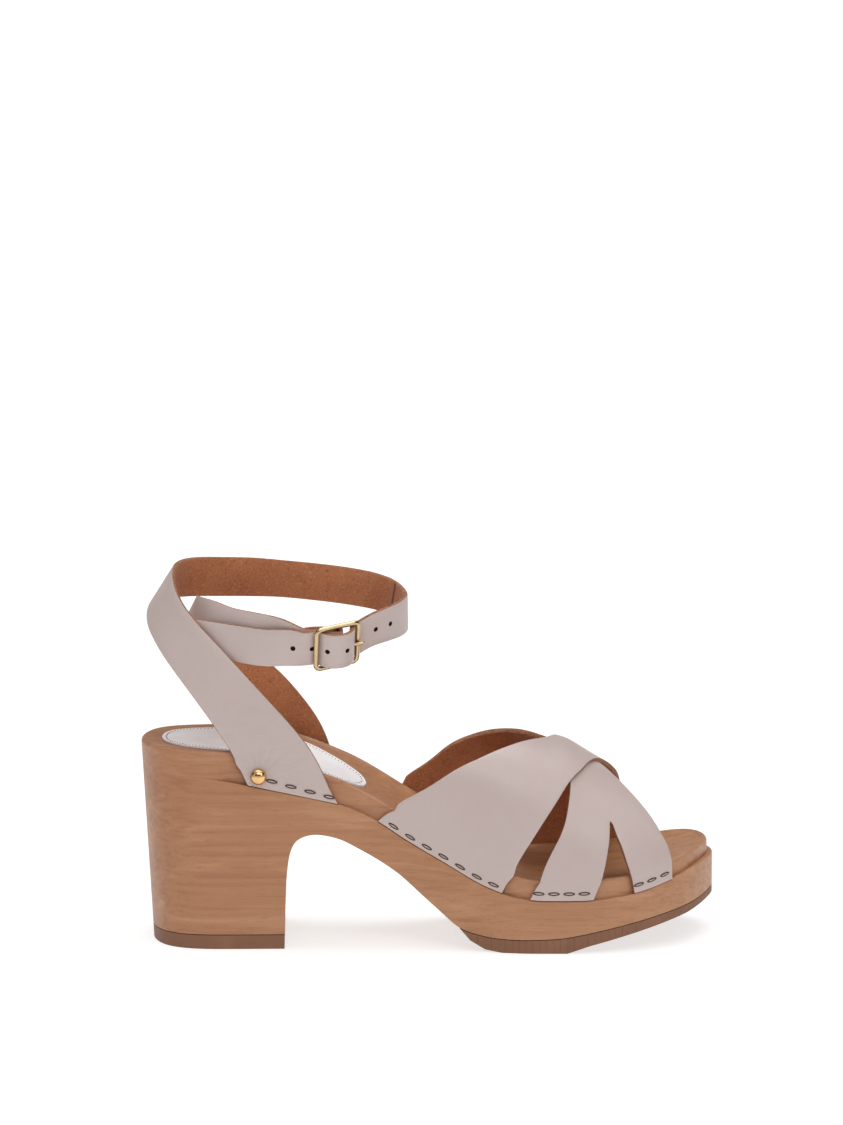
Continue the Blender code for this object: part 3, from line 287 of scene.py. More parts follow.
# The fork between the two tines of each strap: front edge of the rear tine, rear edge of the
# front one.
forkTable = (
    # girth, over strap, over strap, under strap, under strap
    (0.524, 0.7850, 0.7875, 0.8055, 0.8085),
    (0.550, 0.7835, 0.7892, 0.8052, 0.8115),
    (0.600, 0.7815, 0.7910, 0.8048, 0.8165),
    (0.660, 0.7770, 0.7940, 0.8030, 0.8240),
    (0.760, 0.7680, 0.7990, 0.7980, 0.8330),
    (0.860, 0.7580, 0.8030, 0.7905, 0.8410),
    (1.000, 0.7450, 0.8060, 0.7770, 0.8470),
)

# Ankle straps, a row per section. x and z are shares of the ankle's length and rise from the
# middle of the strap's base, y is a share of half the ankle's width. lean turns the section in
# side view, from upright towards the toe, and flare turns its upper end sideways. width is a
# share of the strap's width.
longStrapTable = (
    # x, y, z, lean, flare, width
    (-0.093, -1.110, 0.232, 76, 0, 1.87),
    (-0.188, -1.090, 0.396, 62, 1, 1.57),
    (-0.292, -1.045, 0.565, 60, 0, 1.42),
    (-0.370, -0.935, 0.686, 59, -5, 1.34),
    (-0.425, -0.775, 0.770, 58, -13, 1.28),
    (-0.470, -0.535, 0.850, 54, -22, 1.25),
    (-0.491, -0.275, 0.907, 47, -26, 1.22),
    (-0.496, 0.035, 0.962, 37, -24, 1.19),
    (-0.476, 0.385, 1.000, 28, -16, 1.17),
    (-0.393, 0.775, 1.004, 15, -8, 1.11),
    (-0.270, 0.945, 0.998, 8, -4, 1.07),
    (-0.150, 1.000, 0.993, 3, 0, 1.04),
    (-0.040, 1.000, 0.984, 0, 0, 1.00),
    (0.106, 0.965, 0.966, 0, 0, 1.00),
    (0.222, 0.850, 0.950, 0, 0, 1.00),
    (0.324, 0.630, 0.932, -3, 0, 1.00),
    (0.395, 0.350, 0.905, -4, 3, 1.00),
    (0.431, 0.010, 0.864, -1, -6, 0.99),
    (0.410, -0.270, 0.839, 0, -10, 0.98),
    (0.364, -0.500, 0.823, 1, -15, 0.97),
    (0.308, -0.670, 0.804, 0, -21, 0.97),
)
tailTable = (
    (-0.010, -1.075, 0.730, 1, -8, 0.98),
    (-0.110, -1.040, 0.729, 2, -3, 0.98),
    (-0.215, -0.940, 0.746, 3, 0, 0.96),
    (-0.300, -0.850, 0.760, 3, 2, 0.94),
    (-0.362, -0.745, 0.770, 3, 3, 0.92),
)
shortStrapTable = (
    (-0.042, 1.085, 0.230, 76, -5, 1.90),
    (-0.121, 1.065, 0.392, 61, -2, 1.57),
    (-0.215, 1.000, 0.535, 59, 0, 1.40),
    (-0.282, 0.870, 0.664, 56, 6, 1.30),
    (-0.340, 0.650, 0.752, 50, 13, 1.20),
    (-0.376, 0.350, 0.814, 41, 18, 1.13),
    (-0.390, 0.000, 0.848, 29, 13, 1.09),
    (-0.368, -0.350, 0.857, 19, 7, 1.05),
    (-0.308, -0.630, 0.848, 13, 3, 1.03),
    (-0.230, -0.790, 0.820, 8, 0, 1.01),
    (-0.144, -0.900, 0.803, 5, 0, 1.00),
    (-0.050, -0.945, 0.782, 3, -9, 0.98),
)
# Lower end of each ankle strap: how far its ends have moved back, as shares of the ankle's
# length, where the strap has risen by a share of its rise.
baseTable = (
    # rise, rear end, lateral front end, medial front end
    (0.000, 0.000, 0.000, 0.000),
    (0.085, 0.032, 0.035, 0.012),
)
# Where the straps run inside the buckle, from its middle. along is a share of the way to its
# front bar.
overCentreTable = (
    # along, rise as a share of the crest over the centre bar
    (0.70, 0.20),
    (0.555, 0.62),
    (0.34, 0.89),
    (0.10, 1.00),
    (-0.18, 0.94),
    (-0.43, 0.69),
    (-0.62, 0.28),
)
shortInTable = (
    # along, depth as a share of the way to the layer behind the rear bar
    (-0.87, 0.96),
    (-0.67, 0.70),
    (-0.48, 0.36),
    (-0.31, 0.06),
)
flapTable = (
    # along, depth as a share of the way to the folded layer
    (-0.12, 0.46),
    (-0.32, 0.59),
    (-0.56, 0.79),
    (-0.84, 0.95),
    (-1.12, 1.04),
)
buckleAt = (0.168, -0.968, 0.733)  # the same shares as a strap's section

# Where the straps are stapled: from and to along the sole, staples, first and last as shares of
# that length, and the height of the first and the last above the strap's lower edge.
stapleTable = (
    ("lateral", "vamp_base", 0.410, 0.623, 7, 0.125, 0.925, 2.0 * mm, 2.0 * mm),
    ("lateral", "vamp_rear_tine", 0.670, 0.777, 4, 0.13, 0.86, 2.8 * mm, 2.8 * mm),
    ("lateral", "vamp_front_tine", 0.847, 0.915, 3, 0.15, 0.83, 2.9 * mm, 2.9 * mm),
    ("medial", "vamp_base", 0.432, 0.623, 7, 0.11, 0.92, 2.0 * mm, 2.0 * mm),
    ("medial", "vamp_rear_tine", 0.655, 0.745, 4, 0.13, 0.86, 2.8 * mm, 2.8 * mm),
    ("medial", "vamp_front_tine", 0.806, 0.864, 3, 0.15, 0.83, 2.9 * mm, 2.9 * mm),
)
ankleStaples = ("ankle", 4, 0.27, 0.90, 4.0 * mm, 2.4 * mm)
nailHeight = 4.9 * mm  # above the strap's lower edge
nailToStaple = 5.2 * mm  # from the dome nail forward to the first staple

# Plan of the heel sock, shares of the sole's length along and of half the heel's width across.
padTable = (
    # along, lateral, medial
    (0.036, 0.00, 0.00),
    (0.042, -0.28, 0.30),
    (0.062, -0.50, 0.52),
    (0.100, -0.66, 0.66),
    (0.160, -0.71, 0.70),
    (0.230, -0.68, 0.68),
    (0.290, -0.60, 0.60),
    (0.335, -0.45, 0.49),
    (0.370, -0.21, 0.37),
    (0.386, -0.02, 0.28),
    (0.392, 0.14, 0.14),
)

stationSteps = 6  # sole sections between two rows of planTable
strapSteps = 8  # strap sections between two rows of a table
lineSteps = 5  # points of the sole's underside between two rows of undersideTable
padSteps = 8  # points of the sock's edge between two rows of padTable
prongSteps = 4  # points of the prong's wire between two places on its route
sharpFrom = radians(35)  # the angle between two faces that shows as an edge
dotEdge = radians(40)  # the same for the staples and the sock's dots

# Cross section of an ankle strap: across and through it, and the material of the next face, where
# 0 is the grain side, 1 the flesh side and 2 the cut edge.
bandTable = (
    # across, through, material
    (-1.00, 0.45, 2),
    (-0.985, 0.82, 0),
    (-0.95, 0.98, 0),
    (-0.60, 1.02, 0),
    (0.00, 1.04, 0),
    (0.60, 1.02, 0),
    (0.95, 0.98, 0),
    (0.985, 0.82, 2),
    (1.00, 0.45, 2),
    (1.00, -0.45, 2),
    (0.985, -0.82, 1),
    (0.95, -1.00, 1),
    (0.00, -1.00, 1),
    (-0.95, -1.00, 1),
    (-0.985, -0.82, 2),
    (-1.00, -0.45, 2),
)


def smoothCurve(rows, column):
    # A curve through one column of a table, against its first column, with no overshoot.
    at = np.array([row[0] for row in rows], float)
    value = np.array([row[column] for row in rows], float)
    slope = np.diff(value) / np.diff(at)
    tangent = np.concatenate([slope[:1], (slope[:-1] + slope[1:]) / 2, slope[-1:]])
    turning = np.concatenate([[False], slope[:-1] * slope[1:] <= 0, [False]])
    tangent[turning] = 0

    def read(x):
        x = np.clip(x, at[0], at[-1])
        i = np.clip(np.searchsorted(at, x) - 1, 0, len(at) - 2)
        step = at[i + 1] - at[i]
        t = (x - at[i]) / step
        start = (1 + 2 * t) * (1 - t) ** 2 * value[i] + t * (1 - t) ** 2 * step * tangent[i]
        end = t * t * (3 - 2 * t) * value[i + 1] + t * t * (t - 1) * step * tangent[i + 1]
        return start + end

    return read


def eased(curve, reach):
    # the curve averaged over a short stretch, so that a fine mesh shows no ripples
    weights = (1, 3, 5, 6, 5, 3, 1)
    offsets = np.linspace(-reach, reach, len(weights))

    def read(x):
        fade = min(1.0, (1 - abs(x)) / reach) if abs(x) <= 1 else 0.0
        return sum(w * curve(x + fade * d) for w, d in zip(weights, offsets)) / sum(weights)

    return read


def through(rows, steps):
    # Points on a smooth curve through the rows, with steps between each two.
    rows = np.array(rows, float)
    padded = np.vstack([2 * rows[0] - rows[1], rows, 2 * rows[-1] - rows[-2]])
    found = []
    for a, b, c, d in zip(padded, padded[1:], padded[2:], padded[3:]):
        for t in np.arange(steps) / steps:
            found.append(
                b + 0.5 * t * (c - a + t * (2 * a - 5 * b + 4 * c - d + t * (3 * (b - c) + d - a)))
            )
    return np.array(found + [rows[-1]])


def smoothStep(x, low, high):
    t = np.clip((x - low) / (high - low), 0, 1)
    return t * t * (3 - 2 * t)


def along(x):
    return (x - sole["back"]) / sole["length"]


def atShare(share):
    return sole["back"] + share * sole["length"]


def outlineSides():
    # The two sides of the plan, from the heel back to the toe tip, station by station.
    rows = []
    for share, lateralY, medialY in planTable:
        wider = (sole["ballWidth"] - sole["heelWidth"]) * smoothStep(share, 0.28, 0.68)
        half = (sole["heelWidth"] + wider) / 2
        rows.append((atShare(share), -lateralY * half, medialY * half))
    sides = []
    for column in (1, 2):
        loop = [(row[0], row[column]) for row in rows]
        other = [(row[0], row[3 - column]) for row in rows]
        closed = [other[1], *loop, other[-2]]
        sides.append(through(closed, stationSteps)[stationSteps:-stationSteps])
    return sides


def closedLoop(sides):
    return np.vstack([sides[0], sides[1][-2:0:-1]])


def insetLoop(loop, distance):
    # The closed loop moved inwards; distance is one number or one for each point.
    tangent = np.roll(loop, -1, axis=0) - np.roll(loop, 1, axis=0)
    tangent /= np.linalg.norm(tangent, axis=1)[:, None]
    inward = np.stack([-tangent[:, 1], tangent[:, 0]], axis=1)
    return loop + inward * np.reshape(distance, (-1, 1))


planLoop = closedLoop(outlineSides())
halfLoop = len(planLoop) // 2
edgeCurve, edgeSpring, ledgeCurve, ledgeSpring, recessCurve, archCurve, dishCurve = (
    smoothCurve(sideTable, column) for column in range(1, 8)
)
crestCurve, fullnessCurve = (smoothCurve(lastTable, column) for column in (1, 2))


def sideY(x, side, inset=0.0):
    # How far out the sole's side is at x, moved in by inset.
    moved = insetLoop(planLoop, inset)
    if side == lateral:
        half = moved[: halfLoop + 1]
    else:
        half = np.vstack([moved[halfLoop:], moved[:1]])[::-1]
    order = np.argsort(half[:, 0])
    return np.interp(x, half[order, 0], half[order, 1])


def footbedEdge(x, side):
    s = along(x)
    height = sole["platformHeight"] + edgeCurve(s) * (sole["seatHeight"] - sole["platformHeight"])
    return height + edgeSpring(s) * sole["toeSpring"] + (side > 0) * archCurve(s) * sole["archLift"]


def ledge(x):
    s = along(x)
    height = sole["platformHeight"] + ledgeCurve(s) * (sole["seatHeight"] - sole["platformHeight"])
    return height - sole["recessHeight"] + ledgeSpring(s) * sole["toeSpring"]


def footbed(x, y):
    # Height of the carved footbed, lowest in the middle.
    lateralY, medialY = sideY(x, lateral), sideY(x, medial)
    across = np.clip((y - lateralY) / np.maximum(medialY - lateralY, mm), 0, 1)
    edge = footbedEdge(x, lateral)
    edge = edge + smoothStep(across, 0.45, 1.0) * (footbedEdge(x, medial) - edge)
    return edge - dishCurve(along(x)) * sole["dishDepth"] * (4 * across * (1 - across)) ** 1.2


def addObject(name, data):
    obj = bpy.data.objects.new(name, data)
    bpy.context.collection.objects.link(obj)
    return obj


def turnOutwards(mesh, merged=None):
    # Faces turned outwards, points closer than merged joined first.
    shape = bmesh.new()
    shape.from_mesh(mesh)
    if merged:
        bmesh.ops.remove_doubles(shape, verts=shape.verts, dist=merged)
    bmesh.ops.recalc_face_normals(shape, faces=shape.faces)
    shape.to_mesh(mesh)
    shape.free()


def addMesh(name, points, faces, material=None):
    # An object of these points and faces, its faces turned outwards.
    mesh = bpy.data.meshes.new(name)
    mesh.from_pydata([tuple(p) for p in points], [], [tuple(f) for f in faces])
    obj = addObject(name, mesh)
    turnOutwards(mesh)
    mesh.shade_smooth()
    mesh.set_sharp_from_angle(angle=sharpFrom)
    if material:
        mesh.materials.append(material)
    return obj


def settle(obj):
    # the finished mesh takes the place of the modifiers
    graph = bpy.context.evaluated_depsgraph_get()
    mesh = bpy.data.meshes.new_from_object(obj.evaluated_get(graph), depsgraph=graph)
    obj.modifiers.clear()
    obj.data = mesh
    return obj


def combine(obj, other, operation):
    modifier = obj.modifiers.new("cut", "BOOLEAN")
    modifier.operation = operation
    modifier.solver = "EXACT"
    modifier.material_mode = "TRANSFER"
    modifier.object = other
    settle(obj)
    bpy.data.objects.remove(other)
    obj.data.set_sharp_from_angle(angle=sharpFrom)
    return obj


def ringFaces(count, rings):
    # Quads between neighbouring rings, each a closed loop of count points.
    faces = []
    for r in range(rings - 1):
        for i in range(count):
            j = (i + 1) % count
            faces.append((r * count + i, r * count + j, (r + 1) * count + j, (r + 1) * count + i))
    return faces


def capFaces(count, first):
    # Strips across a ring of count points, from the lateral ones to the medial ones.
    half = count // 2
    faces = [(first, first + 1, first + count - 1)]
    for k in range(1, half - 1):
        faces.append((first + k, first + k + 1, first + count - k - 1, first + count - k))
    faces.append((first + half - 1, first + half, first + half + 1))
    return faces


def leaned(points):
    # The heel back leans forwards on its way down.
    down = 1 - points[:, 2] / sole["seatHeight"]
    weight = 1 - smoothStep(along(points[:, 0]), 0.0, 0.17)
    points[:, 0] += sole["heelLean"] * down * weight
    return points


def soleBlank(name, material, top):
    # A block with the sole's plan and upright sides, flat on top.
    points = np.vstack([
        leaned(np.column_stack([planLoop, np.full(len(planLoop), height)]))
        for height in (-room["safe"], top)
    ])
    count = len(planLoop)
    faces = ringFaces(count, 2) + capFaces(count, 0) + capFaces(count, count)
    return addMesh(name, points, faces, material)


def sideViewPrism(name, outline):
    # A closed side view outline of (x, z) points, drawn across the whole width.
    reach = sole["ballWidth"]
    count = len(outline)
    points = [(x, y, z) for y in (-reach, reach) for x, z in outline]
    faces = [tuple(range(count)), tuple(range(2 * count - 1, count - 1, -1))]
    for i in range(count):
        j = (i + 1) % count
        faces.append((i, j, count + j, count + i))
    return addMesh(name, points, faces)


def undersideLine():
    # Underside of the wood from the heel breast to the toe, as (x, z) points.
    lift, rise = sole["archTop"] - sole["bottom"], sole["toeBottom"] - sole["bottom"]
    line = [
        (atShare(share), sole["bottom"] + arch * lift + spring * rise)
        for share, arch, spring in undersideTable
    ]
    return [tuple(point) for point in through(line, lineSteps)]


def woodenSole(material):
    # The block carved to its footbed, with the strap recess cut round its upper edge.
    shares = along(planLoop[:, 0])
    recess = np.maximum(recessCurve(shares) * sole["recessDepth"], sole["recessLeast"])
    sides = np.where(np.arange(len(planLoop)) <= halfLoop, lateral, medial)

    def ring(inset, height):
        plan = insetLoop(planLoop, inset)
        return leaned(np.column_stack([plan, height(plan[:, 0], plan[:, 1])]))

    def belowEdge(drop):
        return lambda x, y: footbedEdge(x, sides) - drop

    soft = np.minimum(sole["ledgeSoft"], 0.4 * recess)
    rings = [
        ring(0, lambda x, y: np.full(len(x), -room["safe"])),
        ring(0, lambda x, y: ledge(x) - soft),
        ring(0.12 * soft, lambda x, y: ledge(x) - 0.5 * soft),
        ring(0.5 * soft, lambda x, y: ledge(x) - 0.12 * soft),
        ring(soft, lambda x, y: ledge(x)),
        ring(recess, lambda x, y: ledge(x)),
    ]
    for turn in range(0, 91, 15):
        drop, inward = 1 - sin(radians(turn)), 1 - cos(radians(turn))
        rings.append(ring(recess + inward * sole["edgeRound"], belowEdge(drop * sole["edgeRound"])))
    rings.append(ring(recess + 1.6 * sole["edgeRound"], footbed))
    middleX = np.clip(planLoop[:, 0], atShare(0.10), atShare(0.90))
    middle = np.column_stack([middleX, (sideY(middleX, -1) + sideY(middleX, 1)) / 2])
    rim = rings[-1][:, :2]
    for share in (0.03, 0.08, 0.15, 0.24, 0.34, 0.45, 0.57, 0.70, 0.84):
        plan = rim + (middle - rim) * share
        rings.append(np.column_stack([plan, footbed(plan[:, 0], plan[:, 1])]))
    count, last = len(planLoop), len(planLoop) * (len(rings) - 1)
    faces = ringFaces(count, len(rings)) + capFaces(count, 0) + capFaces(count, last)
    block = addMesh("carved_sole", np.vstack(rings), faces, material)
    back, front = sole["back"] - room["safe"], sole["back"] + sole["length"] + room["safe"]
    low = -2 * room["safe"]
    floor = tread["liftThickness"] + room["gap"]
    line = [(back, low), (back, floor), (sole["breastX"], floor), *undersideLine()]
    waste = sideViewPrism("waste_under_sole", [*line, (front, line[-1][1]), (front, low)])
    return combine(block, waste, "DIFFERENCE")


def heelLift(material):
    lift = soleBlank("lift_rubber", material, sole["seatHeight"] / 2)
    back, front, top = sole["back"] - room["safe"], sole["breastX"], tread["liftThickness"]
    outline = [(back, 0), (back, top), (front, top), (front, 0)]
    return combine(lift, sideViewPrism("lift_side_view", outline), "INTERSECT")


def forefootOutsole(material):
    # Rubber under the forefoot, bevelled at its rear edge and ground flat where it stands.
    rubber = soleBlank("forefoot_rubber", material, sole["seatHeight"] / 2)
    line = np.array(undersideLine())
    front = sole["back"] + sole["length"] + room["safe"]
    start = tread["backX"]

    def woodAt(x):
        return np.interp(x, line[:, 0], line[:, 1])

    top = [(start, woodAt(start) - room["gap"])]
    top += [(x, z - room["gap"]) for x, z in line if start < x]
    top.append((front, line[-1][1] - room["gap"]))
    toe = sole["back"] + sole["length"]
    thickest = woodAt(tread["flatTo"]) - room["gap"]
    worn = [(tread["flatTo"], 0)]
    for share in (0.15, 0.35, 0.6, 0.8, 1.0):
        x = tread["flatTo"] + share * (toe - tread["flatTo"])
        thickness = thickest - share ** 0.5 * (thickest - tread["atToe"])
        worn.append((x, woodAt(x) - room["gap"] - thickness))
    worn.append((front, woodAt(front) - tread["atToe"]))
    bevel = [
        (start + share * (tread["flatFrom"] - start), height) for share, height in tread["bevel"]
    ]
    outline = top + worn[::-1] + [(tread["flatFrom"], 0)] + bevel
    return combine(rubber, sideViewPrism("rubber_side_view", outline), "INTERSECT")


def sockEdge():
    # The sock's plan, a closed loop.
    half = sole["heelWidth"] / 2
    return closedLoop([
        through([(atShare(row[0]), row[column] * half) for row in padTable], padSteps)
        for column in (1, 2)
    ])


def heelSock(material):
    # Thin pad glued on the seat and waist of the footbed.
    edge = sockEdge()
    middle = np.column_stack([
        np.clip(edge[:, 0], atShare(0.12), atShare(0.32)),
        np.full(len(edge), 0.02 * sole["heelWidth"]),
    ])
    points = []
    for height in (pad["gap"], pad["gap"] + pad["thickness"]):
        for share in (0, 0.02, 0.12, 0.35, 0.75):
            plan = edge + (middle - edge) * share
            points.append(np.column_stack([plan, footbed(plan[:, 0], plan[:, 1]) + height]))
    points = [points[i] for i in (4, 3, 2, 1, 0, 5, 6, 7, 8, 9)]
    count, last = len(edge), 9 * len(edge)
    faces = ringFaces(count, 10) + capFaces(count, 0) + capFaces(count, last)
    return addMesh("sock_pad", np.vstack(points), faces, material)


def onLast(share, girth, lift):
    # A point on the last, or lift above it. girth is -1 at the lateral ledge, 1 at the medial.
    x = atShare(share)
    inset = recessCurve(share) * sole["recessDepth"] - room["wallGap"]
    lateralY, medialY = sideY(x, lateral, inset), sideY(x, medial, inset)
    side = lateral if girth < 0 else medial
    middle = (lateralY + medialY) / 2
    out = (medialY if side > 0 else lateralY) - middle
    edge, foot = footbedEdge(x, side), ledge(x) + room["gap"]
    crest = sole["platformHeight"] + crestCurve(share) * upper["vampRise"]
    around = min(abs(girth) / upper["upright"], 1) * pi / 2
    power = 2 / fullnessCurve(share)
    across, up = sin(around) ** power, max(cos(around), 0) ** power
    height = edge + up * (crest - edge)
    if abs(girth) > upper["upright"]:
        height = edge + (foot - edge) * (abs(girth) - upper["upright"]) / (1 - upper["upright"])
    slope = sin(around)
    return (
        x,
        middle + across * out + lift * slope * (1 if side > 0 else -1),
        height + lift * max(cos(around), 0),
    )


def vampStrap(name, over, materials):
    # One forked strap: a patch on the last between its two edges, given its thickness outwards.
    first = 1 if over else 3
    rear, front, tineFront, tineRear = (
        eased(smoothCurve(table, first + column), ease)
        for table, ease in ((vampEdgeTable, upper["edgeEase"]), (forkTable, upper["forkEase"]))
        for column in (0, 1)
    )
    start = forkTable[0][0]
    girths = np.concatenate([
        np.linspace(-1, -upper["upright"], 6)[:-1],
        np.linspace(-upper["upright"], start, 64),
        np.linspace(start, 1, 36)[1:],
    ])
    across = 9  # columns in each half
    points, index = [], {}

    def vertex(row, column, half):
        girth = girths[row]
        forked = girth > start + 1e-6
        key = (row, column, half if forked or column != across else 0)
        if key not in index:
            low, high = rear(girth), front(girth)
            if forked:
                split = (tineFront(girth), tineRear(girth))[half]
            else:
                closing = smoothStep(girth, -1.0, start)
                split = (low + high) / 2 * (1 - closing) + tineFront(start) * closing
            low, high = (low, split) if half == 0 else (split, high)
            share = low + (high - low) * (column - half * across) / across
            raised = 1 - smoothStep(abs(girth), upper["crossFrom"], upper["upright"])
            lift = raised * (upper["thickness"] + upper["crossGap"]) if over else 0.0
            index[key] = len(points)
            points.append(onLast(share, girth if over else -girth, lift))
        return index[key]

    faces = []
    for row in range(len(girths) - 1):
        for half in (0, 1):
            for column in range(half * across, (half + 1) * across):
                after = column + 1
                corners = [(row, column), (row, after), (row + 1, after), (row + 1, column)]
                face = [vertex(r, c, half) for r, c in corners]
                faces.append(face if over else face[::-1])
    return leatherSheet(name, points, faces, materials)


def leatherSheet(name, points, faces, materials):
    # a sheet with its thickness outwards, a flesh side inside and a raw cut edge
    mesh = bpy.data.meshes.new(name)
    mesh.from_pydata(points, [], faces)
    obj = addObject(name, mesh)
    mesh.shade_smooth()
    for material in materials:
        mesh.materials.append(material)
    wall = obj.modifiers.new("leather", "SOLIDIFY")
    wall.thickness = upper["thickness"]
    wall.offset = 1
    wall.material_offset = 1
    wall.material_offset_rim = 2
    soft = obj.modifiers.new("soft edge", "BEVEL")
    soft.width = upper["edgeSoft"]
    soft.segments = 2
    soft.limit_method = "ANGLE"
    soft.angle_limit = upper["corner"]
    settle(obj)
    obj.data.set_sharp_from_angle(angle=upper["corner"])
    return obj


def ankleBaseZ():
    return ledge(ankle["baseX"]) + room["gap"]


def strapSection(row):
    # Middle, direction from the rear or lower edge to the other, width and thickness.
    x, y, z, lean, flare, width = row
    middle = Vector((
        ankle["baseX"] + x * ankle["length"],
        y * ankle["width"] / 2,
        ankleBaseZ() + z * ankle["rise"],
    ))
    lean, flare = radians(lean), radians(flare)
    across = Vector((sin(lean) * cos(flare), sin(flare), cos(lean) * cos(flare)))
    return (*middle, *across, width * ankle["strapWidth"], upper["thickness"])


def baseEnds(side):
    # Rear and front end of each of the strap's sections in the recess, clear of the curved side.

    def atWall(x):
        cut = recessCurve(along(x)) * sole["recessDepth"]
        return sideY(x, side, cut - room["wallGap"] - upper["thickness"] / 2)

    found = []
    for rise, rearBack, *frontBack in baseTable:
        ends = []
        for sign, back in ((-1, rearBack), (1, frontBack[side == medial])):
            x = ankle["baseX"] + sign * ankle["baseLength"] / 2
            z = ledge(x) + room["gap"] + rise * ankle["rise"]
            ends.append(Vector((x - back * ankle["length"], atWall(x), z)))
        between = [ends[0].lerp(ends[1], share) for share in (0.2, 0.4, 0.6, 0.8)]
        proud = max(0, *(side * (atWall(place.x) - place.y) for place in between))
        found.append([end + Vector((0, side * proud, 0)) for end in ends])
    return found


def baseSections(side):
    # The strap's lower end, section by section, up to the footbed edge.
    sections = []
    for rear, front in baseEnds(side):
        span = front - rear
        sections.append((*(rear + span / 2), *span.normalized(), span.length, upper["thickness"]))
    return sections


def buckleAxes():
    # Middle of the buckle, and its directions along the strap, across it and outwards.
    middle = Vector(strapSection((*buckleAt, 0, 0, 1))[:3])
    yaw, pitch, lean = radians(buckle["yaw"]), radians(buckle["pitch"]), radians(buckle["lean"])
    forward = Vector((cos(pitch) * cos(yaw), cos(pitch) * sin(yaw), sin(pitch)))
    sideways = Vector((sin(yaw), -cos(yaw), 0))
    across = sideways.cross(forward) * cos(lean) + sideways * sin(lean)
    return middle, forward, across, forward.cross(across)


def inBuckle(u, depth, v=0.0):
    middle, forward, across, outward = buckleAxes()
    return middle + forward * u + across * v + outward * depth


def buckleSection(u, depth, width=ankle["atBuckle"], v=0.0, thickness=upper["thickness"]):
    return (*inBuckle(u, depth, v), *buckleAxes()[2], width, thickness)


sideBar = buckle["length"] / 2 - buckle["wire"] / 2
halfStrap, halfSkived = upper["thickness"] / 2, ankle["skived"] / 2
# from a bar's middle to the middle of the strap round it
roundBar = buckle["wire"] / 2 + room["gap"] + buckle["turnRoom"] + halfStrap
roundCentre = buckle["wire"] / 2 + room["gap"] + halfSkived
crestInBuckle = roundCentre + halfSkived + room["gap"] + halfStrap + ankle["slack"]
crestInBuckle -= buckle["barDrop"]
behindBar = -roundBar - halfStrap - room["gap"] - halfSkived


def around(bar, radius, angle):
    # A place round one of the buckle's bars, along the strap and outwards; 90 degrees is outermost.
    u, depth = bar
    return u + radius * cos(radians(angle)), depth + radius * sin(radians(angle))


def strapThroughBuckle():
    # The long strap goes under the front bar, over the centre bar and under the rear bar.
    front, rear = (sideBar, 0), (-sideBar, 0)
    route = [
        (sideBar + 3.9 * mm, -roundBar - 0.1 * mm, 1.1 * mm),
        (sideBar + 1.3 * mm, -roundBar, 0.1 * mm),
    ]
    places = [around(front, roundBar, -112), around(front, roundBar, -155)]
    places += [(u * sideBar, rise * crestInBuckle) for u, rise in overCentreTable]
    places += [around(rear, roundBar, -20), around(rear, roundBar, -65)]
    route += [(u, depth, 0) for u, depth in places]
    route.append((-sideBar - 1.2 * mm, -roundBar - 0.1 * mm, 0))
    route.append((-sideBar - 4.3 * mm, -roundBar - 0.8 * mm, 0))
    return [buckleSection(u, depth, buckle["strapInside"], v) for u, depth, v in route]


def strapRoundCentreBar():
    # The short strap comes in behind the long one, goes over the centre bar and folds back inside.
    flap = behindBar - ankle["skived"] - 2 * room["gap"]
    centre = (0, -buckle["barDrop"])
    outside = (-sideBar - 4.2 * mm, behindBar - 1.5 * mm)
    rows = [
        buckleSection(*outside, v=1.0 * mm, thickness=1.2 * ankle["skived"]),
        buckleSection(-sideBar - 1.0 * mm, behindBar - 0.3 * mm, thickness=ankle["skived"]),
    ]
    for u, depth in shortInTable:
        rows.append(buckleSection(u * sideBar, depth * behindBar, thickness=ankle["skived"]))
    for turn in range(130, -81, -30):
        rows.append(buckleSection(*around(centre, roundCentre, turn), thickness=ankle["skived"]))
    for u, depth in flapTable:
        rows.append(buckleSection(u * sideBar, depth * flap, thickness=ankle["skived"]))
    end = (-ankle["flapLength"], 1.14 * flap, 0.94 * ankle["atBuckle"])
    rows.append(buckleSection(*end, thickness=ankle["skived"]))
    return rows


def strapMesh(name, sections, materials, grainSide):
    # A band of leather through the sections, closed at both ends.
    middles, across, widths, thickness = np.split(sections, (3, 6, 7), axis=1)
    across = across / np.linalg.norm(across, axis=1)[:, None]
    forward = np.gradient(middles, axis=0)
    outward = grainSide * np.cross(forward, across)
    outward /= np.linalg.norm(outward, axis=1)[:, None]
    ring = [
        middles + across * widths / 2 * side + outward * thickness / 2 * skin
        for side, skin, _ in bandTable
    ]
    points = np.stack(ring, axis=1)
    count, rings = len(bandTable), len(sections)
    faces = ringFaces(count, rings)
    faces += [tuple(range(count - 1, -1, -1)), tuple(count * (rings - 1) + i for i in range(count))]
    strap = addMesh(name, points.reshape(-1, 3), faces)
    for material in materials:
        strap.data.materials.append(material)
    kinds = [kind for _, _, kind in bandTable] * (rings - 1) + [2, 2]
    strap.data.polygons.foreach_set("material_index", kinds)
    return strap


def tube(name, points, radius, material, closed=False):
    # A round wire along the points.
    curve = bpy.data.curves.new(name, "CURVE")
    curve.dimensions = "3D"
    curve.bevel_depth = radius
    curve.bevel_resolution = 6
    curve.use_fill_caps = not closed
    spline = curve.splines.new("POLY")
    spline.points.add(len(points) - 1)
    for slot, point in zip(spline.points, points):
        slot.co = (*point, 1)
    spline.use_cyclic_u = closed
    holder = bpy.data.objects.new(name, curve)
    mesh = bpy.data.meshes.new_from_object(holder)
    bpy.data.objects.remove(holder)
    obj = addObject(name, mesh)
    turnOutwards(mesh, merged=1e-6)
    mesh.shade_smooth()
    mesh.materials.clear()
    mesh.materials.append(material)
    return obj


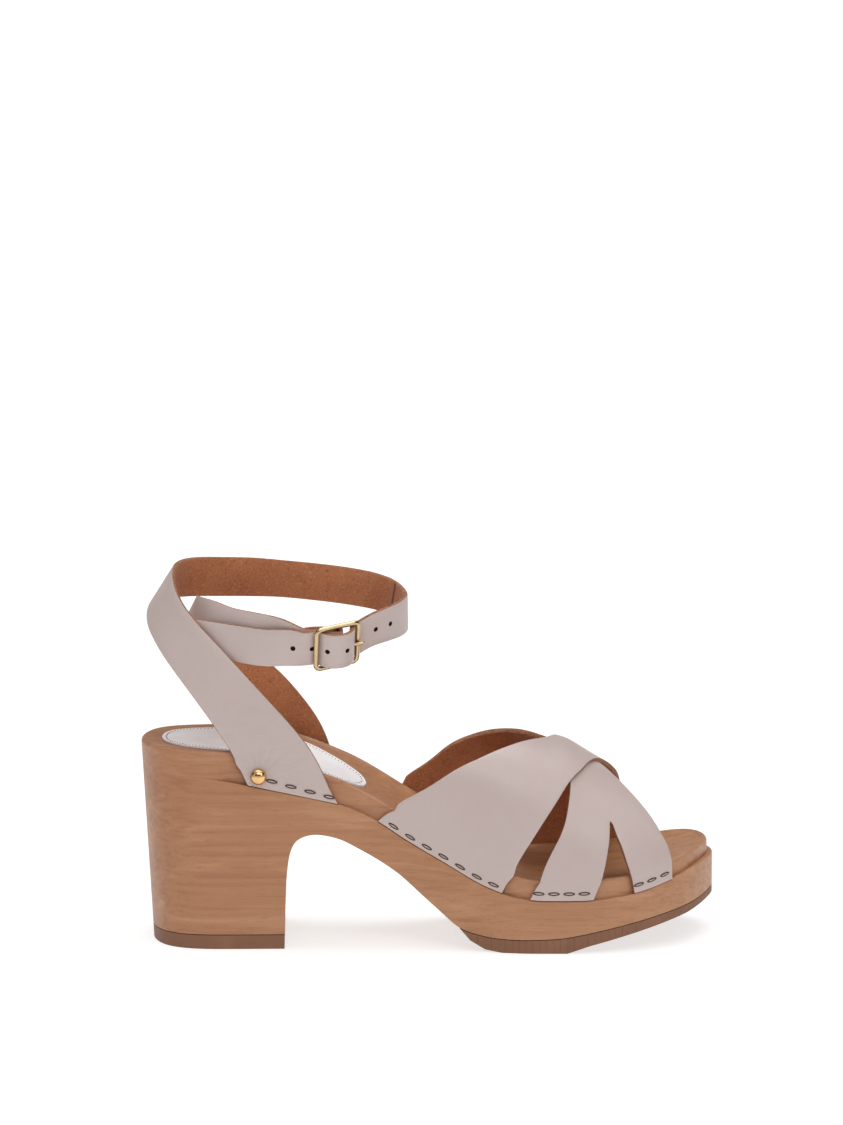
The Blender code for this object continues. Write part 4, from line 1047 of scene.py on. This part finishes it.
def prongRoute():
    # Wire of the prong: round the centre bar, through the strap and onto the front bar.
    ring = buckle["wire"] / 2 + room["gap"] + buckle["prongWire"] / 2
    centre, steps = (0, -buckle["barDrop"]), buckle["ringPoints"]
    route = [around(centre, ring, 10 - 280 * step / steps) for step in range(steps + 1)]
    leaving = ring - buckle["barDrop"]
    for u, climb in ((0.30, 0.0), (0.58, 0.05), (0.80, 0.45), (1.0, 1.0)):
        route.append((u * sideBar, leaving + climb * buckle["barDrop"]))
    route.append((sideBar + buckle["prongEnd"], ring - 0.1 * mm))
    return [inBuckle(u, depth) for u, depth in route]


def buckleFrame(material):
    # Rectangular frame with round corners, and a centre bar that drops behind it.
    halfHeight = ankle["atBuckle"] / 2 + buckle["room"] + buckle["wire"] / 2
    corner = buckle["corner"]
    ring = []
    for quarter, (su, sv) in enumerate(((1, 1), (-1, 1), (-1, -1), (1, -1))):
        for step in range(9):
            angle = radians(90 * quarter + 11.25 * step)
            u = su * (sideBar - corner) + corner * cos(angle)
            v = sv * (halfHeight - corner) + corner * sin(angle)
            ring.append(inBuckle(u, 0, v))
    frame = tube("buckle_wire", ring, buckle["wire"] / 2, material, closed=True)
    stops = [(halfHeight, 0), (halfHeight - 1.5 * buckle["barDrop"], -buckle["barDrop"])]
    stops += [(-v, depth) for v, depth in stops[::-1]]
    route = [inBuckle(0, depth, v) for v, depth in stops]
    bar = tube("centre_bar", route, 0.98 * buckle["wire"] / 2, material)
    return combine(frame, bar, "UNION")


def longStrapSections():
    rows = baseSections(lateral)
    rows += [strapSection(row) for row in longStrapTable]
    rows += strapThroughBuckle()
    rows += [strapSection(row) for row in tailTable]
    return through(rows, strapSteps)


def shortStrapSections():
    rows = baseSections(medial)
    rows += [strapSection(row) for row in shortStrapTable]
    rows += strapRoundCentreBar()
    return through(rows, strapSteps)


def holePunches(sections, material):
    # Punches for the adjusting holes, one pitch apart, from the buckle's front bar both ways.
    middles = sections[:, :3]
    run = np.concatenate([[0], np.cumsum(np.linalg.norm(np.diff(middles, axis=0), axis=1))])
    frontBar = np.array(inBuckle(sideBar, -roundBar))
    start = run[np.argmin(np.linalg.norm(middles - frontBar, axis=1))]
    points, faces, spokes = [], [], ankle["holeSpokes"]
    places = [start + ankle["holeBehindBar"] + step * ankle["holePitch"] for step in range(4)]
    places += [start - ankle["holeAheadOfBar"] - step * ankle["holePitch"] for step in range(2)]
    for distance in places:
        middle = Vector([np.interp(distance, run, middles[:, i]) for i in range(3)])
        ahead = Vector([np.interp(distance + mm, run, middles[:, i]) for i in range(3)])
        across = Vector([np.interp(distance, run, sections[:, 3 + i]) for i in range(3)])
        across.normalize()
        forward = (ahead - middle).normalized()
        outward = forward.cross(across)
        first = len(points)
        for share in ankle["punchReach"]:
            reach = share * upper["thickness"]
            for turn in range(spokes):
                angle = radians(360 / spokes * turn)
                spoke = forward * cos(angle) + across * sin(angle)
                points.append(middle + spoke * ankle["hole"] / 2 + outward * reach)
        top, end = first + spokes, first + 2 * spokes
        faces += [tuple(first + i for i in face) for face in ringFaces(spokes, 2)]
        faces += [tuple(range(top - 1, first - 1, -1)), tuple(range(top, end))]
    return addMesh("hole_punches", points, faces, material)


def ankleStrapLateral(materials):
    sections = longStrapSections()
    strap = strapMesh("long_ankle_strap", sections, materials, -1)
    combine(strap, holePunches(sections, materials[3]), "DIFFERENCE")
    radius = buckle["prongWire"] / 2 + room["gap"]
    route = prongRoute()[buckle["ringPoints"] + 1 :]
    clearance = tube("prong_clearance", route, radius, materials[2])
    return combine(strap, clearance, "DIFFERENCE")


def ankleStrapMedial(materials):
    strap = strapMesh("short_ankle_strap", shortStrapSections(), materials, 1)
    half = buckle["prongWire"] / 2 + room["gap"]
    reach = buckle["wire"] / 2 + room["gap"] + buckle["prongWire"] + room["gap"]
    points = [
        inBuckle(u, depth, v)
        for u in (-reach, reach)
        for depth in (-2.5 * reach, 2.5 * reach)
        for v in (-half, half)
    ]
    faces = [(0, 1, 3, 2), (4, 6, 7, 5), (0, 4, 5, 1), (2, 3, 7, 6), (0, 2, 6, 4), (1, 5, 7, 3)]
    return combine(strap, addMesh("prong_slot", points, faces), "DIFFERENCE")


def wallPlace(x, side, height, out):
    # A point on the outside of a strap's lower end, and the directions along it and outwards.

    def point(at):
        inset = recessCurve(along(at)) * sole["recessDepth"] - room["wallGap"] - upper["thickness"]
        return Vector((at, sideY(at, side, inset), ledge(at) + room["gap"] + height))

    forward = (point(x + mm) - point(x - mm)).normalized()
    outward = forward.cross(Vector((0, 0, 1))).normalized() * -side
    return point(x) + outward * out, forward, outward


def anklePlace(x, side, height, out):
    # The same on the lower end of an ankle strap, which is straight between its ends.
    low, high = baseEnds(side)
    rise = height / (baseTable[1][0] * ankle["rise"])
    rear, front = low[0].lerp(high[0], rise), low[1].lerp(high[1], rise)
    forward = (front - rear).normalized()
    outward = forward.cross(Vector((0, 0, 1))).normalized() * -side
    share = (x - rear.x) / (front.x - rear.x)
    return rear.lerp(front, share) + outward * (upper["thickness"] / 2 + out), forward, outward


def domeNail(name, side, material):
    middle, forward, outward = anklePlace(nailX(), side, nailHeight, room["gap"])
    up = outward.cross(forward)
    radius, spokes = fixing["nail"] / 2, fixing["nailSpokes"]
    skirtHeight, domeHeight = fixing["nailSkirt"], fixing["nailDome"] * radius
    points = []
    for turn in range(0, 89, 8):
        for spoke in range(spokes):
            angle = 2 * pi * spoke / spokes
            flat = (forward * cos(angle) + up * sin(angle)) * radius * cos(radians(turn))
            points.append(middle + flat + outward * (skirtHeight + domeHeight * sin(radians(turn))))
    skirt = [p - outward * skirtHeight for p in points[:spokes]]
    rings = len(points) // spokes + 1
    points = skirt + points + [middle + outward * (skirtHeight + domeHeight)]
    faces = ringFaces(spokes, rings) + [tuple(range(spokes - 1, -1, -1))]
    top = (rings - 1) * spokes
    faces += [(top + i, top + (i + 1) % spokes, top + spokes) for i in range(spokes)]
    return addMesh(name, points, faces, material)


def stapleSpots():
    # every staple's node name and its place on the leather
    ankleFrom = along(ankle["baseX"] - ankle["baseLength"] / 2)
    ankleTo = along(ankle["baseX"] + ankle["baseLength"] / 2)
    spots = []
    for word, side in (("lateral", lateral), ("medial", medial)):
        bases = [*stapleTable, (word, ankleStaples[0], ankleFrom, ankleTo, *ankleStaples[1:])]
        for footSide, place, start, end, count, first, last, low, high in bases:
            if footSide != word:
                continue
            for number in range(count):
                step = number / (count - 1)
                x = atShare(start + (first + (last - first) * step) * (end - start))
                height = low + (high - low) * step
                if place == ankleStaples[0]:
                    spot = anklePlace(x, side, height, fixing["ankleLift"])
                else:
                    spot = wallPlace(x, side, height, 0)
                spots.append((f"staple_{word}_{place}_{number + 1}", spot))
    return spots


def makeNode(tree, kind, settings, inputs):
    # a new node with these settings, its inputs linked to sockets or set to values
    made = tree.nodes.new(kind)
    for key, value in settings.items():
        setattr(made, key, value)
    for key, value in inputs.items():
        if isinstance(value, bpy.types.NodeSocket):
            tree.links.new(value, made.inputs[key])
        else:
            made.inputs[key].default_value = value
    return made


class Wire:
    # wraps a value socket, so that shader maths is written as plain expressions
    def __init__(self, finish, socket):
        self.finish = finish
        self.socket = socket

    def math(self, operation, first, second=0.0):
        return self.finish.node(
            "ShaderNodeMath", {"operation": operation}, {0: first, 1: second}
        )

    def __add__(self, other):
        return self.math("ADD", self, other)

    def __sub__(self, other):
        return self.math("SUBTRACT", self, other)

    def __mul__(self, other):
        return self.math("MULTIPLY", self, other)

    def __rsub__(self, other):
        return self.math("SUBTRACT", other, self)

    __radd__ = __add__
    __rmul__ = __mul__

    def sine(self):
        return self.math("SINE", self)

    def power(self, other):
        return self.math("POWER", self, other)

    def between(self, low, high):
        # 0 below low, 1 above high, smooth in between
        settings = {"interpolation_type": "SMOOTHSTEP"}
        inputs = {"Value": self, "From Min": low, "From Max": high}
        return self.finish.node("ShaderNodeMapRange", settings, inputs)


class Finish:
    # one Principled material, built from nodes
    def __init__(self, name, **constants):
        self.material = bpy.data.materials.new(name)
        self.material.use_nodes = True
        self.tree = self.material.node_tree
        self.shader = self.tree.nodes["Principled BSDF"]
        for socket, value in constants.items():
            self.shader.inputs[socket.replace("_", " ")].default_value = value

    def node(self, kind, settings, inputs, output=0):
        inputs = {key: getattr(value, "socket", value) for key, value in inputs.items()}
        return Wire(self, makeNode(self.tree, kind, settings, inputs).outputs[output])

    def place(self, scale=(1, 1, 1)):
        # object coordinates in metres, stretched by scale
        inputs = {"Vector": self.node("ShaderNodeTexCoord", {}, {}, "Object"), "Scale": scale}
        return self.node("ShaderNodeMapping", {}, inputs)

    def axis(self, letter):
        return self.node("ShaderNodeSeparateXYZ", {}, {"Vector": self.place()}, letter.upper())

    def noise(self, scale, detail=3.0, roughness=0.55, distortion=0.0):
        # scale is in cycles a metre along x, y and z
        inputs = {"Vector": self.place(scale), "Scale": 1.0, "Detail": detail}
        inputs |= {"Roughness": roughness, "Distortion": distortion}
        return self.node("ShaderNodeTexNoise", {}, inputs, "Fac")

    def cells(self, scale):
        settings = {"feature": "DISTANCE_TO_EDGE"}
        inputs = {"Vector": self.place(), "Scale": scale}
        return self.node("ShaderNodeTexVoronoi", settings, inputs, "Distance")

    def mix(self, factor, first, second):
        inputs = {"Factor": factor, 6: first, 7: second}
        return self.node("ShaderNodeMix", {"data_type": "RGBA"}, inputs, 2)

    def bump(self, height, strength, distance, after=None):
        inputs = {"Height": height, "Strength": strength, "Distance": distance}
        if after is not None:
            inputs["Normal"] = after
        return self.node("ShaderNodeBump", {}, inputs)

    def feed(self, **wires):
        for socket, wire in wires.items():
            self.tree.links.new(wire.socket, self.shader.inputs[socket.replace("_", " ")])
        return self.material


def tint(red, green, blue):
    # a colour as it shows on screen, 0 to 255, as shader light values
    shares = (value / 255 for value in (red, green, blue))
    light = [v / 12.92 if v <= 0.04045 else ((v + 0.055) / 1.055) ** 2.4 for v in shares]
    return (*light, 1.0)


woodLook = {
    "heel": tint(170, 118, 81),
    "front": tint(177, 127, 90),
    "streak": tint(146, 93, 62),
    "pale": tint(203, 155, 119),
    "pore": tint(122, 78, 52),
    "roughness": 0.46,
}


def woodFinish():
    finish = Finish("oiled_alder", Coat_Weight=0.12, Coat_Roughness=0.35)
    wave = finish.noise((7, 20, 34), detail=2.0)
    streak = finish.noise((9, 300, 520), detail=4.0, roughness=0.6, distortion=0.3)
    figure = finish.noise((16, 60, 130), detail=3.0, roughness=0.5, distortion=0.8)
    pore = finish.noise((190, 2100, 3300), detail=2.0, roughness=0.5)
    x = finish.axis("x")
    base = finish.mix(x.between(0.02, 0.15), woodLook["heel"], woodLook["front"])
    base = finish.mix(streak.between(0.42, 0.72) * 0.52, base, woodLook["streak"])
    base = finish.mix(figure.between(0.48, 0.74) * 0.40, base, woodLook["pale"])
    base = finish.mix(wave.between(0.50, 0.80) * 0.25, base, woodLook["streak"])
    dash = pore.between(0.60, 0.68)
    base = finish.mix(dash * 0.26, base, woodLook["pore"])
    roughness = woodLook["roughness"] + (streak - 0.5) * 0.25 + dash * 0.15
    fine = finish.bump(streak * 0.6 + figure * 0.4, 0.25, 0.0002)
    normal = finish.bump(1 - dash, 0.35, 0.00012, fine)
    return finish.feed(Base_Color=base, Roughness=roughness, Normal=normal)


rubberLook = {
    "brown": tint(126, 87, 63),
    "dusty": tint(142, 103, 78),
    "roughness": 0.62,
    "ribPitch": 5.4 * mm,
}


def rubberFinish(name, ribbed):
    finish = Finish(name, Specular_IOR_Level=0.4)
    cloud = finish.noise((60, 60, 60), detail=4.0)
    grain = finish.noise((2600, 2600, 2600), detail=2.0)
    base = finish.mix(cloud.between(0.45, 0.75) * 0.6, rubberLook["brown"], rubberLook["dusty"])
    roughness = rubberLook["roughness"] + (cloud - 0.5) * 0.3
    normal = finish.bump(grain, 0.3, 0.0001)
    if ribbed:
        wave = (finish.axis("x") * (2 * pi / rubberLook["ribPitch"])).sine()
        normal = finish.bump(wave.between(-0.4, 0.2), 0.7, 0.0004, normal)
    return finish.feed(Base_Color=base, Roughness=roughness, Normal=normal)


leatherLook = {
    "face": tint(190, 173, 168),
    "warm": tint(183, 164, 158),
    "worn": tint(197, 182, 178),
    "edge": tint(158, 106, 74),
    "edgeDark": tint(122, 76, 50),
    "flesh": tint(164, 98, 60),
    "fleshPale": tint(184, 117, 75),
    "nap": tint(206, 148, 108),
    "roughness": 0.42,
}


# painted shade of a crease on the flesh side: a thin dark line, with no fold in the mesh
creaseShadeLook = {
    "height": 0.131,
    "slope": 0.14,  # how far the plane runs forwards as it rises
    "x": 0.0698,  # where it stands at that height
    "fade": (0.0001, 0.0006),
    "bottom": (0.122, 0.124),
    "dark": tint(70, 38, 22),
}


def grainLeather():
    finish = Finish("nude_leather", Coat_Weight=0.08, Coat_Roughness=0.3)
    cloud = finish.noise((34, 34, 34), detail=4.0)
    pull = finish.noise((120, 120, 120), detail=3.0, distortion=0.8)
    cell = finish.cells(1500.0)
    fleck = finish.noise((900, 900, 900), detail=2.0)
    base = finish.mix(cloud.between(0.35, 0.75) * 0.40, leatherLook["face"], leatherLook["warm"])
    base = finish.mix(pull.between(0.50, 0.85) * 0.22, base, leatherLook["worn"])
    base = finish.mix(fleck.between(0.62, 0.72) * 0.18, base, leatherLook["warm"])
    roughness = leatherLook["roughness"] + (cloud - 0.5) * 0.22
    normal = finish.bump(cell.between(0.0, 0.25), 0.16, 0.00010)
    normal = finish.bump(pull, 0.30, 0.0010, normal)
    # wrinkles pulled towards the dome nail
    nail = anklePlace(nailX(), lateral, nailHeight, 0)[0]
    dx, dz = finish.axis("x") - nail.x, finish.axis("z") - nail.z
    reach = (dx * dx + dz * dz).power(0.5)
    turn = finish.node("ShaderNodeMath", {"operation": "ARCTAN2"}, {0: dz, 1: dx})
    ray = (turn * 17.0 + cloud * 20.0).sine() * (1 - reach.between(0.004, 0.026))
    normal = finish.bump(ray, 0.24, 0.0005, normal)
    crease = finish.noise((150, 150, 620), detail=3.0, distortion=1.4)
    normal = finish.bump(crease * (1 - reach.between(0.012, 0.060)), 0.30, 0.0012, normal)
    return finish.feed(Base_Color=base, Roughness=roughness, Normal=normal)


def nailX():
    return ankle["baseX"] + (ankleStaples[2] - 0.5) * ankle["baseLength"] - nailToStaple


def cutEdge():
    finish = Finish("raw_edge", Roughness=0.7)
    fibre = finish.noise((700, 700, 2200), detail=3.0)
    base = finish.mix(fibre.between(0.40, 0.65), leatherLook["edge"], leatherLook["edgeDark"])
    normal = finish.bump(fibre, 0.5, 0.0002)
    return finish.feed(Base_Color=base, Normal=normal)


def fleshSide():
    finish = Finish("flesh_side", Roughness=0.85, Sheen_Weight=0.15, Sheen_Roughness=0.5)
    nap = finish.noise((1150, 1150, 1150), detail=4.0)
    cloud = finish.noise((45, 45, 45), detail=4.0)
    base = finish.mix(cloud.between(0.3, 0.75), leatherLook["flesh"], leatherLook["fleshPale"])
    base = finish.mix(nap.between(0.26, 0.44), leatherLook["edgeDark"], base)
    base = finish.mix(nap.between(0.54, 0.68) * 0.42, base, leatherLook["nap"])
    # painted shade: a dark line standing for the crease where a steep plane cuts the loop's inside
    #     # near its front, on both sides of the loop
    x, z = finish.axis("x"), finish.axis("z")
    off = x - (z - creaseShadeLook["height"]) * creaseShadeLook["slope"] - creaseShadeLook["x"]
    crease = 1 - (off * off).power(0.5).between(*creaseShadeLook["fade"])
    crease = crease * z.between(*creaseShadeLook["bottom"])
    base = finish.mix(crease * 0.9, base, creaseShadeLook["dark"])
    normal = finish.bump(nap, 0.8, 0.0005)
    return finish.feed(Base_Color=base, Normal=normal)


metalLook = {
    "gold": tint(206, 182, 142),
    "brass": tint(232, 190, 132),
    "steel": tint(176, 167, 158),
}


def metalFinish(name, colour, roughness):
    finish = Finish(name, Metallic=1.0)
    scratch = finish.noise((400, 400, 3000), detail=2.0)
    smudge = finish.noise((260, 260, 260), detail=3.0)
    base = finish.mix(smudge.between(0.35, 0.75) * 0.25, colour, tint(150, 120, 88))
    blur = roughness + smudge * 0.10 + scratch.between(0.6, 0.8) * 0.08
    return finish.feed(Base_Color=base, Roughness=blur)


padLook = {
    "face": tint(250, 248, 249),
    "shade": tint(238, 234, 235),
    "dots": tint(112, 100, 98),
    "inset": 1.6 * mm,
    "pitch": 1.5 * mm,
    "dot": 0.24 * mm,
}


def padFinish():
    finish = Finish("satin_pad", Coat_Weight=0.05)
    cloud = finish.noise((40, 40, 40), detail=4.0)
    grain = finish.noise((1800, 1800, 1800), detail=2.0)
    base = finish.mix(cloud.between(0.35, 0.7), padLook["face"], padLook["shade"])
    normal = finish.bump(grain, 0.25, 0.00012)
    return finish.feed(Base_Color=base, Roughness=0.45 + (cloud - 0.5) * 0.2, Normal=normal)


def plainFinish(name, colour, roughness):
    finish = Finish(name, Roughness=roughness)
    speck = finish.noise((500, 500, 500), detail=2.0)
    base = finish.mix(speck.between(0.3, 0.7) * 0.3, colour, tint(70, 45, 32))
    return finish.feed(Base_Color=base)


class Growth:
    # a Geometry Nodes tree with named inputs, on one carrier object
    def __init__(self, name):
        self.tree = bpy.data.node_groups.new(name, "GeometryNodeTree")
        self.sockets = {}
        self.values = {}
        kind = "NodeSocketGeometry"
        for way in ("INPUT", "OUTPUT"):
            self.tree.interface.new_socket("Geometry", in_out=way, socket_type=kind)
        self.entry = self.tree.nodes.new("NodeGroupInput")

    def size(self, name, value):
        kind = "NodeSocketFloat"
        socket = self.tree.interface.new_socket(name, in_out="INPUT", socket_type=kind)
        self.values[socket.identifier] = value
        return self.entry.outputs[name]

    def node(self, kind, settings, inputs):
        return makeNode(self.tree, kind, settings, inputs)

    def apply(self, obj, geometry, material):
        real = self.node("GeometryNodeRealizeInstances", {}, {"Geometry": geometry})
        inputs = {"Geometry": real.outputs[0], "Material": material}
        last = self.node("GeometryNodeSetMaterial", {}, inputs)
        leave = self.tree.nodes.new("NodeGroupOutput")
        self.tree.links.new(last.outputs[0], leave.inputs[0])
        modifier = obj.modifiers.new("growth", "NODES")
        modifier.node_group = self.tree
        for identifier, value in self.values.items():
            modifier[identifier] = value
        settle(obj)
        obj.data.shade_smooth()
        obj.data.set_sharp_from_angle(angle=dotEdge)
        return obj


def ovalBars(name, longer, wider, thickness, lift, material):
    # a rounded bar lying on the leather at every staple's place
    length, width = fixing["stapleLength"] * longer, fixing["stapleWidth"] * wider
    spots = [spot for _, spot in stapleSpots()]
    mesh = bpy.data.meshes.new(name)
    mesh.from_pydata([middle + outward * lift for middle, _, outward in spots], [], [])
    turns = mesh.attributes.new("turn", "FLOAT_VECTOR", "POINT")
    for slot, (_, forward, outward) in zip(turns.data, spots):
        frameOf = Matrix((forward, outward.cross(forward), outward)).transposed()
        slot.vector = frameOf.to_euler()
    obj = addObject(name, mesh)
    growth = Growth(name)
    sizeX, sizeY = growth.size("Length", length), growth.size("Width", width)
    sizeZ = growth.size("Thickness", thickness)
    inputs = {"Segments": 28, "Rings": 12, "Radius": 0.5}
    ball = growth.node("GeometryNodeMeshUVSphere", {}, inputs)
    shape = growth.node("ShaderNodeCombineXYZ", {}, {0: sizeX, 1: sizeY, 2: sizeZ})
    settings = {"data_type": "FLOAT_VECTOR"}
    turn = growth.node("GeometryNodeInputNamedAttribute", settings, {"Name": "turn"})
    rotation = growth.node("FunctionNodeEulerToRotation", {}, {0: turn.outputs[0]})
    inputs = {"Points": growth.entry.outputs[0], "Instance": ball.outputs[0]}
    inputs |= {"Rotation": rotation.outputs[0], "Scale": shape.outputs[0]}
    placed = growth.node("GeometryNodeInstanceOnPoints", {}, inputs)
    return growth.apply(obj, placed.outputs[0], material)


def padBorder(material):
    # a plain dotted line just inside the sock's edge
    loop = insetLoop(sockEdge(), padLook["inset"])
    top = pad["gap"] + pad["thickness"]
    points = [(x, y, footbed(x, y) + top) for x, y in loop]
    curve = bpy.data.meshes.new("sock_dots")
    count = len(points)
    curve.from_pydata(points, [(i, (i + 1) % count) for i in range(count)], [])
    obj = addObject("sock_dots", curve)
    growth = Growth("sock_dots")
    pitch, radius = growth.size("Pitch", padLook["pitch"]), growth.size("Radius", padLook["dot"])
    line = growth.node("GeometryNodeMeshToCurve", {}, {"Mesh": growth.entry.outputs[0]})
    spaced = growth.node(
        "GeometryNodeResampleCurve", {"mode": "LENGTH"}, {"Curve": line.outputs[0], "Length": pitch}
    )
    ball = growth.node("GeometryNodeMeshIcoSphere", {}, {"Subdivisions": 2, "Radius": radius})
    inputs = {"Points": spaced.outputs[0], "Instance": ball.outputs[0]}
    placed = growth.node("GeometryNodeInstanceOnPoints", {}, inputs)
    return growth.apply(obj, placed.outputs[0], material)


# camera first, at the photograph's place
cameraData = bpy.data.cameras.new("photo_camera")
cameraData.lens = 144
cameraData.sensor_width = 36
camera = addObject("photo_camera", cameraData)
camera.location = (0.0375, -1.7747, 0.3691)
camera.rotation_euler = (radians(90 - 7.0505), 0, radians(-1.4162))
bpy.context.scene.camera = camera


def keep(piece, slot, *nodes):
    # a finished piece rides on the one body and stands for its nodes
    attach(piece, "root")
    if nodes:
        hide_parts(*nodes)
    return piece


wood = woodFinish()
leatherSet = (grainLeather(), fleshSide(), cutEdge())
holeSet = (*leatherSet, plainFinish("hole_shade", tint(62, 40, 30), 0.8))
gold = metalFinish("pale_gold_plate", metalLook["gold"], 0.09)
brass = metalFinish("polished_brass", metalLook["brass"], 0.12)
steel = metalFinish("dull_steel", metalLook["steel"], 0.32)
print("finishes made")

keep(woodenSole(wood), "alder_wood", "wooden_sole")
keep(forefootOutsole(rubberFinish("ribbed_rubber", True)), "rubber", "forefoot_outsole")
keep(heelLift(rubberFinish("heel_rubber", False)), "rubber", "heel_lift")
keep(heelSock(padFinish()), "sock_pad", "heel_sock")
keep(padBorder(plainFinish("border_dots", padLook["dots"], 0.6)), "sock_pad")
print("sole made")

keep(vampStrap("under_vamp_strap", False, leatherSet), "pale_leather", "vamp_straps")
keep(vampStrap("over_vamp_strap", True, leatherSet), "pale_leather", "vamp_straps")
keep(ankleStrapLateral(holeSet), "pale_leather", "ankle_strap_lateral")
keep(ankleStrapMedial(leatherSet), "pale_leather", "ankle_strap_medial")
print("upper made")

keep(buckleFrame(gold), "pale_gold", "buckle_frame")
prongPath = through(np.array([tuple(point) for point in prongRoute()]), prongSteps)
prong = tube("buckle_tongue", prongPath, buckle["prongWire"] / 2, gold)
keep(prong, "pale_gold", "buckle_prong")
for word, side in (("lateral", lateral), ("medial", medial)):
    keep(domeNail(f"nail_{word}", side, brass), "brass", f"dome_nail_{word}")
names = [name for name, _ in stapleSpots()]
keep(ovalBars("staple_crowns", *fixing["crown"], steel), "staple_steel", *names)
# painted shade: dark ovals round the staples stand for the shaded dimples in the leather
dentShade = plainFinish("staple_dent_shade", tint(70, 50, 42), 0.7)
keep(ovalBars("staple_dent_shade", *fixing["dentShade"], dentShade), "pale_leather")
print("fittings made")


def stageFinish():
    # a pale floor that turns into the white background further back
    finish = Finish("pale_floor", Roughness=0.9, Base_Color=(0.45, 0.45, 0.45, 1))
    finish.shader.inputs["Emission Strength"].default_value = 1.0
    away = finish.axis("y").between(0.15, 1.6)
    near, far = (0.68, 0.68, 0.68, 1), (0.84, 0.84, 0.84, 1)
    return finish.feed(Emission_Color=finish.mix(away, near, far))


corners = [(-6, -4, 0), (6, -4, 0), (6, 9, 0), (-6, 9, 0)]
floor = addMesh("floor", corners, [(0, 1, 2, 3)], stageFinish())


lightTable = (
    # name, place, what it points at, size, watts
    ("top_light", (0.1, 0.25, 1.5), (0.08, 0, 0.05), (1.4, 1.0), 13),
    ("left_light", (-1.3, -0.9, 0.9), (0.08, 0, 0.07), (0.8, 1.0), 1.5),
    ("right_light", (1.1, -1.2, 1.1), (0.10, 0, 0.06), (0.8, 0.9), 4.5),
    ("front_light", (0.1, -1.3, 1.35), (0.10, 0, 0.06), (1.0, 0.6), 7),
)
for name, place, aim, size, power in lightTable:
    data = bpy.data.lights.new(name, "AREA")
    data.shape = "RECTANGLE"
    data.size, data.size_y = size
    data.energy = power
    lamp = addObject(name, data)
    lamp.location = place
    lamp.rotation_euler = (Vector(aim) - Vector(place)).to_track_quat("-Z", "Y").to_euler()

# The sky that lights the shoe has a dark band above the horizon, for contrast in the metal. The
# camera itself sees plain white.
skyWhite, skyDark = (1.0, 0.99, 0.985, 1), (0.06, 0.055, 0.05, 1)
world = bpy.data.worlds.new("studio")
bpy.context.scene.world = world
world.use_nodes = True
nodes, links = world.node_tree.nodes, world.node_tree.links
sky, white = nodes["Background"], nodes.new("ShaderNodeBackground")
sky.inputs[0].default_value = skyWhite
sky.inputs[1].default_value = 0.60
white.inputs[0].default_value = (1, 1, 1, 1)
white.inputs[1].default_value = 1.0
direction = nodes.new("ShaderNodeTexCoord")
parts = nodes.new("ShaderNodeSeparateXYZ")
band = nodes.new("ShaderNodeValToRGB")
for stop, position in zip(band.color_ramp.elements, (0.20, 0.75)):
    stop.position = position
    stop.color = skyWhite
for position in (0.30, 0.62):
    band.color_ramp.elements.new(position).color = skyDark
rays = nodes.new("ShaderNodeLightPath")
choose = nodes.new("ShaderNodeMixShader")
links.new(direction.outputs["Generated"], parts.inputs[0])
links.new(parts.outputs["Z"], band.inputs[0])
links.new(band.outputs[0], sky.inputs[0])
links.new(rays.outputs["Is Camera Ray"], choose.inputs[0])
links.new(sky.outputs[0], choose.inputs[1])
links.new(white.outputs[0], choose.inputs[2])
links.new(choose.outputs[0], nodes["World Output"].inputs[0])
bpy.context.scene.view_settings.view_transform = "Standard"
print("stage and lights made")
